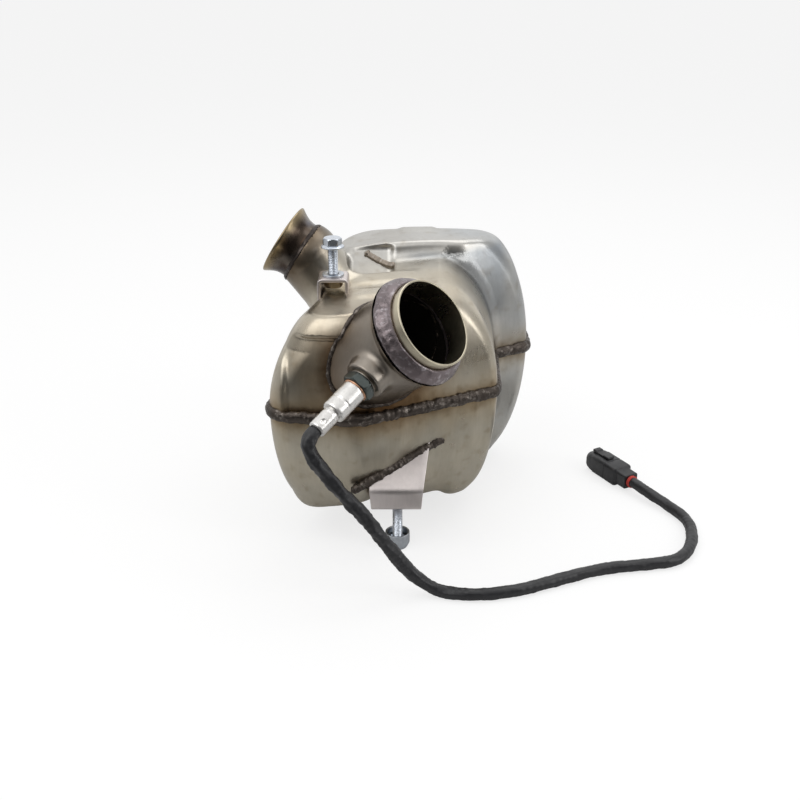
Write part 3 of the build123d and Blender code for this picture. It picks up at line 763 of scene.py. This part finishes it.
def tints(points):
    """Heat tint by place: straw and brown near the welds, cooler steel away from them; painted
    shade on the rear lobe's front panel.
    """
    x, y, z = points.T
    wave = np.array([rough(p, 0.035, 2) for p in points])
    fine = np.array([rough(p, 0.12, 3) for p in points])
    front = 1 - step(y, 70, 130)
    # Painted shade: the rear lobe's front panel is darkened and cooled towards grey-blue.
    panel = step(x, 0, 20) * (1 - step(x, 84, 100)) * step(z, 140, 160)
    panel = panel * step(y, 108, 116) * (1 - step(z, 205, 212))
    below = 1 - 0.8 * step(z, 168, 190)
    tint = np.ones((len(points), 3))
    for amount, color in (
            (front, (0.97, 0.93, 0.83)),
            ((1 - front) * 0.8, (0.94, 0.97, 1.0)),
            (panel * 0.9, (0.62, 0.66, 0.72)),
            (near_line(points, seam[::8], 30 + 10 * wave) ** 1.3, (0.74, 0.62, 0.46)),
            (near_line(points, seam[::8], 13 + 4 * fine) ** 1.1, (0.42, 0.35, 0.28)),
            (near_line(points, root[::6], 36 + 10 * wave) ** 1.4 * below, (0.70, 0.56, 0.42)),
            (near_line(points, root[::6], 13 + 4 * fine) ** 1.1 * below, (0.42, 0.34, 0.28)),
            (np.clip(0.5 + wave, 0, 1) * 0.22, (0.80, 0.72, 0.60)),
            (np.clip(fine - 0.25, 0, 1) * 0.8, (0.70, 0.64, 0.56))):
        tint = laid(tint, amount, color)
    return tint


points, quads, normals = skin(upper_field, (-124, -30, 108), (126, 224, 240),
                              lambda p: p[:, 2] > SEAM_Z - 0.2)
s, rho = axis_split(points.T, *INLET)
hot = np.clip(1 - np.abs(s - 16) / 30, 0, 1) * (rho < 40) * step(-points[:, 0], 42, 56)
cool = step(points[:, 1], 120, 150) * step(points[:, 0], 20, 60)
tint = laid(laid(tints(points), hot ** 0.6, (0.20, 0.15, 0.11)), cool, (0.86, 0.90, 0.95))
piece("upper_half_shell", points, quads, "shell", "shell", ["upper_shell"], normals, tint)

points, quads, normals = skin(lower_field, (-124, -30, -6), (126, 224, 122),
                              lambda p: p[:, 2] < SEAM_Z + 0.2)
points[:, 2] = np.maximum(points[:, 2], 0.02)
piece("lower_half_shell", points, quads, "pan", "shell", ["lower_shell"], normals, tints(points))


# Weld beads
def ripples(i, pitch, depth):
    """Scale marks of a hand-laid bead, unevenly spaced."""
    drift = 2.4 * noise.noise(Vector((i * 0.045, 7.0, 0.0)))
    strong = 0.6 + 0.8 * noise.noise(Vector((i * 0.03, 3.0, 9.0)))
    return depth * strong * (abs(math.sin(math.pi * (i / pitch + drift))) - 0.5)


def seam_radius(i, angle, at):
    lump = rough(at + np.array([3 * math.cos(angle), 0, 3 * math.sin(angle)]), 0.16)
    broad = 0.6 * noise.noise(Vector((i * 0.02, 0.0, 4.0)))
    return 3.7 + broad + ripples(i, 5.5, 0.4) + 0.8 * lump


piece("seam_bead", *sweep(seam, seam_radius, 16, closed=True, flat=1.3, up=(0, 0, 1)),
      "weld", "weld", ["seam_weld"])


def root_radius(i, angle, at):
    lump = rough(at + 2 * np.array([math.cos(angle), math.sin(angle), 0]), 0.15)
    return 1.8 + ripples(i, 5.5, 0.25) + 0.5 * lump


piece("root_bead", *sweep(root, root_radius, 14, closed=True), "weld", "weld", ["outlet_root_weld"])


# Outlet: pipe with its sensor boss, stub and collar weld
def pipe_field(P):
    s, rho = axis_split(P, *OUTLET)
    flare = 5.6 * (1 - step(s, LIP_AT, 27.5))
    tube = np.maximum(rho - OUT_R - flare, np.maximum(LIP_AT - s, s - OUT_FAR))
    t, rad = axis_split(P, *SENSOR)
    boss = soft_max(rad - BOSS_R, t - BOSS_END, 1.6)
    boss = np.maximum(boss, 20 - t)
    f = soft_min(tube, boss, 4.0)
    return f, np.full_like(f, NOWHERE)


def pipe_keep(p):
    """Leaves both ends of the pipe open."""
    s = (p - OUT_MOUTH) @ OUT_IN
    return (s > LIP_AT + 0.8) & (s < OUT_FAR - 1)


points, quads, normals = skin(pipe_field, (-80, -70, 95), (65, 75, 235), pipe_keep,
                              0.9)
s, rho = axis_split(points.T, *OUTLET)
tint = laid(np.ones((len(points), 3)), near_line(points, root[::6], 34) ** 1.1, (0.50, 0.42, 0.34))
tint = laid(tint, np.clip(1 - np.abs(s - 16) / 16, 0, 1), (0.80, 0.74, 0.66))
piece("outlet_tube", points, quads, "pipe", "pipe",
      ["outlet_pipe", "sensor_boss", "sensor_boss_weld"], normals, tint)
bore = OUT_R - 1.6
inside = revolve(*OUTLET, [(34.0, 15), (bore, 26), (bore, OUT_FAR)], closed=False)
piece("outlet_tube_inside", *inside, "inside", "inside")

turned("outlet_stub_ring", OUTLET, washer(32.25, 33.85, 0, 20, 0.6), 128, "stub", "stub",
       "outlet_stub")


def collar_wobble(t, r, s):
    at = around(t, 20, s * 0.6)
    lump = rough(at, 0.17) * 0.8 + rough(at, 0.5, 2) * 0.25
    return lump * min(1.0, max(0.0, (r - 34.2) / 3))


collar = [(33.9, 7.2), (35.3, 6.7), (37.0, 8.0), (39.2, 10.4), (40.9, 13.0), (41.9, 15.6),
          (42.0, 17.2), (40.6, 18.0), (36.0, 24.0), (33.9, 24.0)]
turned("collar_bead", OUTLET, even(collar, 0.8), 320, "collar", "weld", "outlet_collar",
       collar_wobble, sharp=0)

# Inlet pipe with its flared rim
inlet = [(27.8, 0.3), (28.6, 0.0), (29.4, 0.5), (29.4, 1.4), (28.4, 3.0), (27.0, 5.2), (25.7, 7.8),
         (24.6, 10.6), (IN_R, 14.0), (IN_R, 26.0), (IN_BORE_R, 26.0), (IN_BORE_R, 14.0),
         (23.0, 10.5), (24.1, 7.2), (25.8, 3.6)]
verts, faces = revolve(*INLET, even(inlet, 1.5), 128,
                       wobble=lambda t, r, s: 0.25 * rough(around(t, 24, s), 0.06, 2))
points = np.array(verts)
s, rho = axis_split(points.T, *INLET)
burn = np.array([0.5 + rough(p, 0.05, 3) for p in points])
dark = np.clip(step(s, 2, 8) * (0.55 + 0.6 * burn), 0, 0.94)
blue = np.clip(np.array([rough(p, 0.09, 2) for p in points]) - 0.12, 0, 1) * step(s, 6, 12)
tint = laid(np.ones((len(points), 3)), dark, (0.14, 0.105, 0.085))
tint = laid(laid(tint, 1 - step(s, 3, 9), (1.0, 0.88, 0.62)), blue, (0.75, 0.85, 1.25))
ORANGE_AT = IN_RIM + IN_DIR * 19 + np.array([9, -20, 10])
spot = np.clip(1 - np.linalg.norm(points - ORANGE_AT, axis=1) / 9, 0, 1)
tint = tint * (1 - spot[:, None]) + spot[:, None] * np.array([1.25, 0.72, 0.42])
tint = np.where(((rho < 23.9) & (s > 3))[:, None], np.array([0.10, 0.09, 0.08]), tint)
piece("inlet_tube", verts, faces, "inlet", "inlet", ["inlet_pipe"], tint=tint)
ring = rounded([(24.0, 17.0), (24.8, 17.2), (26.2, 19.0), (26.3, 20.4), (24.0, 20.6)], 0.9)
turned("inlet_bead", INLET, ring, 160, "burnt", "weld", "inlet_weld",
       lambda t, r, s: 0.5 * rough(around(t, 26, s), 0.22), sharp=0)


# Small turned and bent parts
def merge(parts):
    """Several (verts, faces) pairs as one."""
    verts, faces = [], []
    for some, more in parts:
        faces += [tuple(k + len(verts) for k in f) for f in more]
        verts += some
    return verts, faces


def hexagon(origin, direction, flats, start, end, turn=0.0, bore=0.0, bevel=0.9):
    """A hexagon with rounded-off corners at both ends, with or without a bore."""
    rows = [(start, 0.0), (start + bevel * 0.5, 0.5), (start + bevel, 1.0)]
    rows += [(end - bevel, 1.0), (end - bevel * 0.5, 0.5), (end, 0.0)]
    outline = [(flats / 2, s) for s, _ in rows]
    if bore:
        outline = [(bore, start)] + outline + [(bore, end)]
    else:
        outline = [(0.0, start)] + outline + [(flats * 0.36, end), (0.0, end)]
    full = {round(s, 4): share for s, share in rows}

    def corner(t, r, s):
        if abs(r - flats / 2) > 1e-6:
            return 0.0
        part = (t - turn) % (math.pi / 3) - math.pi / 6
        sharp = flats / 2 / math.cos(part)
        limit = flats / 2 * 0.985 + (0.155 * flats / 2 + 0.015) * full[round(s, 4)]
        return min(sharp, limit) - flats / 2

    return revolve(origin, direction, outline, 72, closed=bool(bore), wobble=corner, start=turn)


def threaded(origin, direction, radius, start, end, pitch=1.25, depth=0.62):
    """A shank whose radius follows a one-start thread."""
    rows = int((end - start) / 0.16)
    outline = [(radius, start + (end - start) * k / rows) for k in range(rows + 1)]

    def groove(t, r, s):
        if r < 1:
            return 0.0
        turn = ((s / pitch) - t / (2 * math.pi)) % 1.0
        fade = max(0.0, min(1.0, (s - start) / 0.8, (end - s) / 0.8))
        return -depth * abs(2 * turn - 1) * fade - 0.5 * (1 - fade)

    outline = [(0.0, start)] + outline + [(0.0, end)]
    return revolve(origin, direction, outline, 32, closed=False, wobble=groove)


def strip(path, edges, thick, across, lift):
    """A bent sheet. path gives (u, v) points of its outer face, edges(i) its two side places,
    across the axis of its width and lift the two axes of the path."""
    pts = np.array(path, float)
    run = np.gradient(pts, axis=0)
    run /= np.linalg.norm(run, axis=1)[:, None]
    side = np.stack([run[:, 1], -run[:, 0]], 1)
    verts = []
    edge = 0.5
    rim = [(0.0, edge), (edge * 0.3, edge * 0.3), (edge, 0.0)]
    for i in range(len(pts)):
        low, high = edges(i)
        inner = np.linspace(low + edge, high - edge, 9)[1:-1]
        loop = [(low + a, b) for a, b in rim] + [(x, 0.0) for x in inner]
        loop += [(high - a, b) for a, b in rim[::-1]]
        loop += [(high - a, thick - b) for a, b in rim] + [(x, thick) for x in inner[::-1]]
        loop += [(low + a, thick - b) for a, b in rim[::-1]]
        for x, depth in loop:
            u, v = pts[i] + side[i] * depth
            verts.append(np.array(across) * x + np.array(lift[0]) * u + np.array(lift[1]) * v)
    return verts, ring_faces(len(pts), len(verts) // len(pts))


def bent(points, radius, spacing=0.8):
    """A path with its corners rounded, at an even spacing."""
    soft = rounded(points, radius, closed=False)
    path, _ = resample(np.array([(u, 0.0, v) for u, v in soft]), spacing)
    return [(q[0], q[2]) for q in path]


def flat_piece(name, parts, material, slot, node):
    """Parts with flat faces and crisp edges as one piece."""
    piece(name, *merge(parts), material, slot, [node], sharp=28)


# Sensor
turned("gasket_ring", SENSOR, washer(9.1, 10.9, BOSS_END, HEX_AT, 0.5), 64, "steel_ring",
       "copper", "sensor_gasket")
hex_part = hexagon(*SENSOR, 22.0, HEX_AT, RING_AT, HEX_TURN, bore=5.6, bevel=1.3)
flat_piece("sensor_hexagon", [hex_part], "hex", "sensor_hex", "sensor_body")
turned("copper_ring", SENSOR, washer(5.0, 9.9, RING_AT, SLEEVE_AT, 0.5), 64, "copper",
       "copper", "sensor_ring")
sleeve = [(4.0, SLEEVE_AT), (9.0, SLEEVE_AT), (9.2, SLEEVE_AT + 0.4), (9.2, CAP_AT - 10.6),
          (9.05, CAP_AT - 10.1), (9.05, CAP_AT - 9.5), (9.2, CAP_AT - 9.0), (9.2, CAP_AT - 1.6),
          (8.9, CAP_AT - 0.6), (8.2, CAP_AT), (4.0, CAP_AT)]
turned("bright_sleeve", SENSOR, even(sleeve, 1.0), 64, "sleeve", "sleeve", "sensor_sleeve",
       sharp=30)


def cap_dent(t, r, s):
    """Two small crimps pressed into the cap."""
    if r < 6:
        return 0.0
    dent = 0.0
    for side in (0.9, 0.9 + math.pi):
        turn = (t - side + math.pi) % (2 * math.pi) - math.pi
        away = math.hypot(turn * 6.7, s - CAP_AT - 11.5)
        dent += 0.9 * max(0.0, 1 - (away / 2.2) ** 2)
    return -dent


cap = [(3.0, CAP_AT), (6.4, CAP_AT), (6.4, CAP_AT + 2.6), (6.68, CAP_AT + 3.4),
       (6.68, GROMMET_AT - 1.2), (6.3, GROMMET_AT - 0.4), (5.6, GROMMET_AT), (3.0, GROMMET_AT)]
turned("sleeve_cap", SENSOR, even(cap, 0.7), 72, "sleeve", "sleeve", "sensor_cap", cap_dent)
turned("grommet_seal", SENSOR, washer(0.5, 4.9, GROMMET_AT, LEAD_AT, 0.3), 48, "grommet",
       "grommet", "sensor_grommet")

# Lower mount: bent sheet, its weld, nut, bolt and cup
SHEET = 2.5
LOW_FACE, LOW_FOOT, LOW_BEND = -9.5, 37.0, 54.0
LEAN = 44 * math.sqrt(0.5)   # the sheet's upper run leans back at 45 degrees
low_path = bent([(11.0, LOW_FOOT), (LOW_FACE, LOW_FOOT), (LOW_FACE, LOW_BEND),
                 (LOW_FACE + LEAN, LOW_BEND + LEAN)], 3.2)


def low_edges(i):
    z = low_path[i][1]
    share = np.clip((z - LOW_FOOT) / (LOW_BEND - LOW_FOOT), 0, 1)
    flare = max(z - LOW_BEND, 0.0) / 35.4
    return -22.0 + 1.5 * (1 - share), 20.0 - 1.5 * (1 - share) + 7.0 * flare


piece("lower_bracket_sheet", *strip(low_path, low_edges, SHEET, (1, 0, 0), ((0, 1, 0), (0, 0, 1))),
      "bracket", "bracket", ["lower_bracket"], sharp=50)
low_ends = [(*on_face(-36, 4.5), 54), (*on_face(37, 2.0), 84)]
low_weld_line, _ = resample(np.array(low_ends, float), 0.5)
LOW_COUNT = len(low_weld_line)


def low_weld_radius(i, angle, at):
    along = i / (LOW_COUNT - 1)
    swell = 2.6 + 1.8 * math.sin(math.pi * min(1.0, along * 1.1)) ** 0.6
    if along > 0.87:
        swell = max(swell, 4.1)
    tip = min(1.0, (i + 0.3) / 5.0, (LOW_COUNT - 1 - i + 0.3) / 6.0)
    lump = rough(at + 2.5 * np.array([math.cos(angle), 0, math.sin(angle)]), 0.24)
    return min((swell + ripples(i, 9.0, 0.5) + 0.8 * lump) * math.sqrt(tip), 4.8)


piece("lower_bracket_bead", *sweep(low_weld_line, low_weld_radius, 20, up=(0, -0.7, 0.7)),
      "weld", "weld", ["lower_bracket_weld"])
UPWARD = np.array([0, 0, 1.0])
BELOW = (np.zeros(3), UPWARD)
NUT_FLATS, BOLT_R = 13.0, 4.0
flat_piece("lower_nut", [hexagon(*BELOW, NUT_FLATS, 39.5, 46.0, 0.2, bore=BOLT_R)], "zinc", "zinc",
           "lower_weld_nut")
flat_piece("lower_mount_bolt", [hexagon(*BELOW, NUT_FLATS, 1.6, 7.6, 0.35),
                                threaded(*BELOW, BOLT_R, 7.4, 46.0)], "zinc", "zinc", "lower_bolt")
cup = rounded([(4.05, 0.02), (7.75, 0.02), (9.75, 4.0), (9.75, 13.0), (8.15, 13.0), (8.15, 4.2),
               (7.0, 1.6), (4.05, 1.6)], 0.5)
turned("cup_washer", BELOW, cup, 64, "cup", "zinc", "lower_cup_washer")

# Upper mount: channel, nut, washer and flanged bolt
ABOVE = (np.array([-50.0, 62.0, 0.0]), UPWARD)
UP_HALF, UP_TOP = 12.0, 206.5
up_path = bent([(-UP_HALF, 184.0), (-UP_HALF, UP_TOP), (UP_HALF, UP_TOP), (UP_HALF, 188.0)],
               4.2, 0.7)
verts, faces = strip(up_path, lambda i: (-UP_HALF, UP_HALF), SHEET, (0, 1, 0),
                     ((1, 0, 0), (0, 0, 1)))
verts = [v + ABOVE[0] for v in verts]
piece("upper_bracket_sheet", verts, faces, "bracket", "bracket", ["upper_bracket"], sharp=50)
flat_piece("upper_nut", [hexagon(*ABOVE, NUT_FLATS, 197.5, 204.0, 0.25, bore=BOLT_R)],
           "brass", "zinc", "upper_weld_nut")
turned("upper_washer_ring", ABOVE, washer(4.5, 8.5, UP_TOP, 208.1, 0.4), 64, "zinc", "zinc",
       "upper_washer")
rim = rounded([(0.5, 229.0), (9.0, 229.0), (9.0, 229.9), (6.6, 231.2), (0.5, 231.2)], 0.3)
flat_piece("upper_mount_bolt", [hexagon(*ABOVE, NUT_FLATS, 230.3, 236.5, 0.12),
                                revolve(*ABOVE, rim, 64), threaded(*ABOVE, BOLT_R, 197.5, 229.1)],
           "zinc", "zinc", "upper_bolt")

# Weld on the pocket's floor
def in_pocket(x, y, z):
    """From the pocket's own axes to the part's."""
    c, s = math.cos(POCKET_TILT), math.sin(POCKET_TILT)
    return np.array([POCKET_AT[0] + x, POCKET_AT[1] + y * c - z * s, POCKET_AT[2] + y * s + z * c])


TAIL_STEP = 0.4
tail, _ = resample(np.array([in_pocket(*at) for at in (
    (-5.3, 11, -12), (0, 7, -12.2), (8, 2, -12), (15, -2, -10.5), (20, -4, -7))]), TAIL_STEP)
TAIL_COUNT = len(tail)


def tail_radius(i, angle, at):
    blob = max(0.0, 1 - (i * TAIL_STEP / 4.0) ** 2)
    tip = min(1.0, (i + 0.5) / 6, (TAIL_COUNT - i - 0.5) / 5)
    groove = -0.7 * math.exp(-((angle - math.pi / 2) / 0.45) ** 2) * min(1.0, i / 14)
    return max(0.3, (2.7 + blob + groove + 0.35 * rough(at, 0.4) + ripples(i, 3.0, 0.2)) * tip)


piece("pocket_bead", *sweep(tail, tail_radius, 20, up=in_pocket(0, 0, 1) - in_pocket(0, 0, 0)),
      "bead", "weld", ["pocket_weld"])


# Connector on the end of the lead
PLUG_SIDE = np.array([-PLUG_DIR[1], PLUG_DIR[0], 0.0])


def plug_loop(wide, high, radius):
    """Outline of a rounded rectangle, anticlockwise."""
    out = []
    for k, (cx, cy) in enumerate(((1, 1), (-1, 1), (-1, -1), (1, -1))):
        for n in range(6):
            t = math.pi / 2 * (k + n / 5)
            out.append((cx * (wide / 2 - radius) + radius * math.cos(t),
                        cy * (high / 2 - radius) + radius * math.sin(t)))
    return out


def plug_part(sections):
    """Skin through rounded rectangles (along, width, height, radius, lift)."""
    verts = []
    for along, wide, high, radius, lift in sections:
        for a, b in plug_loop(wide, high, radius):
            verts.append(PLUG_AT + PLUG_DIR * along + PLUG_SIDE * a + UPWARD * (b + lift))
    return verts, ring_faces(len(sections), len(verts) // len(sections))


body = [(3.0, 13.6, 11.6, 2, 0), (3.6, 14.8, 12.8, 2.2, 0), (13.6, 15, 13, 2.2, 0),
        (14.6, 16.6, 14, 2.6, 0), (15.4, 19.2, 16.4, 3, 0), (16.4, 20, 17, 3, 0),
        (27.4, 20, 17, 3, 0), (28.0, 19.3, 16.3, 3, 0), (29.2, 19.3, 16.3, 3, 0),
        (29.8, 20, 17, 3, 0), (45.0, 20, 17, 3, 0), (46.0, 19.6, 16.6, 3.4, 0),
        (49.5, 19.6, 16.6, 4.2, 0), (53.8, 18.6, 15.6, 5.0, 0), (55.0, 17.4, 14.4, 5.0, 0),
        (54.6, 15.6, 12.0, 2, 0), (37.4, 15.4, 11.6, 2, 0)]
keys = [plug_part([(30.5 + k * 5.2, 1.4, 1.0, 0.4, 8.1), (34.0 + k * 5.2, 1.4, 1.0, 0.4, 8.1)])
        for k in range(2)]
rails = []
for side in (-1, 1):
    verts, faces = plug_part([(17.5, 1.6, 1.4, 0.5, 7.5), (28.5, 1.6, 1.4, 0.5, 7.5)])
    rails.append(([v + PLUG_SIDE * 5.6 * side for v in verts], faces))
flat_piece("connector_body", [plug_part(body)] + keys + rails, "black", "connector",
           "connector_housing")
latch = [(31.2, 5.0, 1.2, 0.5, 9.0), (32.0, 7.8, 2.4, 0.8, 9.75), (38.0, 7.9, 2.4, 0.8, 9.75),
         (39.0, 7.9, 1.5, 0.7, 9.3), (47.0, 7.9, 1.5, 0.7, 9.3), (48.0, 7.9, 2.4, 0.8, 9.75),
         (52.2, 7.6, 2.4, 0.8, 9.75), (53.0, 6.6, 1.6, 0.7, 9.3)]
flat_piece("connector_latch", [plug_part(latch)], "black", "connector", "connector_lock")
ridges = [(2.4, 0.0), (4.6, 0.0), (5.45, 0.35), (5.45, 0.95), (4.7, 1.35), (4.7, 1.65),
          (5.45, 2.05), (5.45, 2.65), (4.6, 3.0), (2.4, 3.0)]
turned("connector_seal_ring", (PLUG_AT, PLUG_DIR), ridges, 48, "red", "seal", "connector_seal",
       sharp=0)

# Hidden plates, smaller than the solids and cut off below the pocket, so that they stay inside
# the shells
PLATE_SCALE, PLATE_FRONT, PLATE_TOP = 0.965, 126, 186
for name in ("front_baffle", "side_baffle"):
    mesh = NODES[name].data
    verts = np.array([v.co for v in mesh.vertices]) / MM
    middle = (verts.min(0) + verts.max(0)) / 2
    verts = middle + (verts - middle) * PLATE_SCALE
    cut = verts[:, 1] < PLATE_FRONT
    verts[cut, 2] = np.minimum(verts[cut, 2], PLATE_TOP)
    faces = [tuple(f.vertices) for f in mesh.polygons]
    piece(name + "_plate", verts, faces, "inside", "inside", [name], sharp=28)

# What else lies hidden inside keeps its CAD solid
for name in ("transfer_tube", "catalyst_can", "catalyst_mat", "catalyst_core", "sensor_probe"):
    mesh = NODES[name].data
    mesh.materials.clear()
    mesh.materials.append(MAT["ceramic" if name == "catalyst_core" else "inside"])


# Floor, world and lamps
def stage_material():
    """White to the camera; in reflections darker the further it lies in front."""
    m = Nodes("floor_white")
    m.surface((0.86, 0.86, 0.86, 1), 0.0, 0.9)
    white = m.join("ShaderNodeAddShader", m.join("ShaderNodeEmission", (1, 1, 1, 1), 0.72),
                   m.join("ShaderNodeBsdfDiffuse", (0.30, 0.30, 0.30, 1)))
    ahead = m.rise(m.split(m.geo.outputs["Position"])[1], *MIRROR_FROM_TO, kind="LINEAR")
    mirror = m.join("ShaderNodeBsdfDiffuse", m.ramp(ahead, FLOOR_MIRROR))
    rays = m.add("ShaderNodeLightPath")
    seen = m.math("MAXIMUM", rays.outputs["Is Camera Ray"], rays.outputs["Is Transmission Ray"])
    lit = m.join("ShaderNodeMixShader", rays.outputs["Is Glossy Ray"], m.bsdf.outputs[0], mirror)
    m.link(m.join("ShaderNodeMixShader", seen, lit, white),
           m.tree.nodes["Material Output"].inputs["Surface"])
    return m.mat


MIRROR_FROM_TO = (-0.8, 0.6)     # metres in y, over which the stops run
FLOOR_MIRROR = [(0.0, 0.10), (0.25, 0.13), (0.37, 0.31), (0.50, 0.68), (0.62, 0.75), (1.0, 0.85)]
FLOOR_HALF, FLOOR_Z = 6, -0.0002
floor_mesh = bpy.data.meshes.new("floor")
floor_mesh.from_pydata([(x * FLOOR_HALF, y * FLOOR_HALF, FLOOR_Z)
                        for x, y in ((-1, -1), (1, -1), (1, 1), (-1, 1))], [], [(0, 1, 2, 3)])
floor_mesh.materials.append(stage_material())
floor = bpy.data.objects.new("floor", floor_mesh)
scene.collection.objects.link(floor)

world = bpy.data.worlds.new("world")
scene.world = world
world.use_nodes = True


def studio(tree):
    """White to the camera, a soft sky for diffuse light, and in reflections a dark room with
    bright panels overhead, behind, right and left. The camera's side stays dark."""
    g = Nodes("", tree)
    x, y, z = g.split(g.add("ShaderNodeTexCoord").outputs["Generated"])
    left = g.math("MULTIPLY", x, -1.0)
    bright = g.rise(z, 0.40, 0.80, 0.85)
    for panel in (g.rise(y, 0.10, 0.70, 0.90), g.rise(x, 0.45, 0.90, 0.50),
                  g.rise(left, 0.70, 0.97, 0.40),
                  g.math("MULTIPLY", g.rise(left, 0.10, 0.50), g.rise(z, 0.05, 0.40, 0.85))):
        bright = g.math("MAXIMUM", bright, panel)
    room = g.math("ADD", bright, 0.13)
    sky = g.math("ADD", g.rise(z, 0.0, 0.7, 0.30), 0.36)
    rays = g.add("ShaderNodeLightPath")
    color = g.mix(rays.outputs["Is Glossy Ray"], g.gray(sky), g.gray(room))
    color = g.mix(rays.outputs["Is Camera Ray"], color, (1.0, 1.0, 1.0))
    g.link(color, tree.nodes["Background"].inputs["Color"])


studio(world.node_tree)


def lamp(name, at, target, size, power):
    """A rectangular area lamp, in metres and watts."""
    data = bpy.data.lights.new(name, "AREA")
    data.shape = "RECTANGLE"
    data.size, data.size_y = size
    data.energy = power
    obj = bpy.data.objects.new(name, data)
    obj.location = at
    aim = Vector(target) - Vector(at)
    obj.rotation_euler = aim.to_track_quat("-Z", "Y").to_euler()
    scene.collection.objects.link(obj)


lamp("key", (-0.7, -0.5, 1.2), (0, 0.06, 0.12), (1.2, 1.0), 5)
lamp("top", (0.3, 0.5, 1.3), (0.02, 0.1, 0.12), (1.3, 0.8), 4)
lamp("side", (1.1, -0.4, 0.6), (0.02, 0.06, 0.12), (0.4, 0.9), 3)

scene.view_settings.view_transform = "Standard"
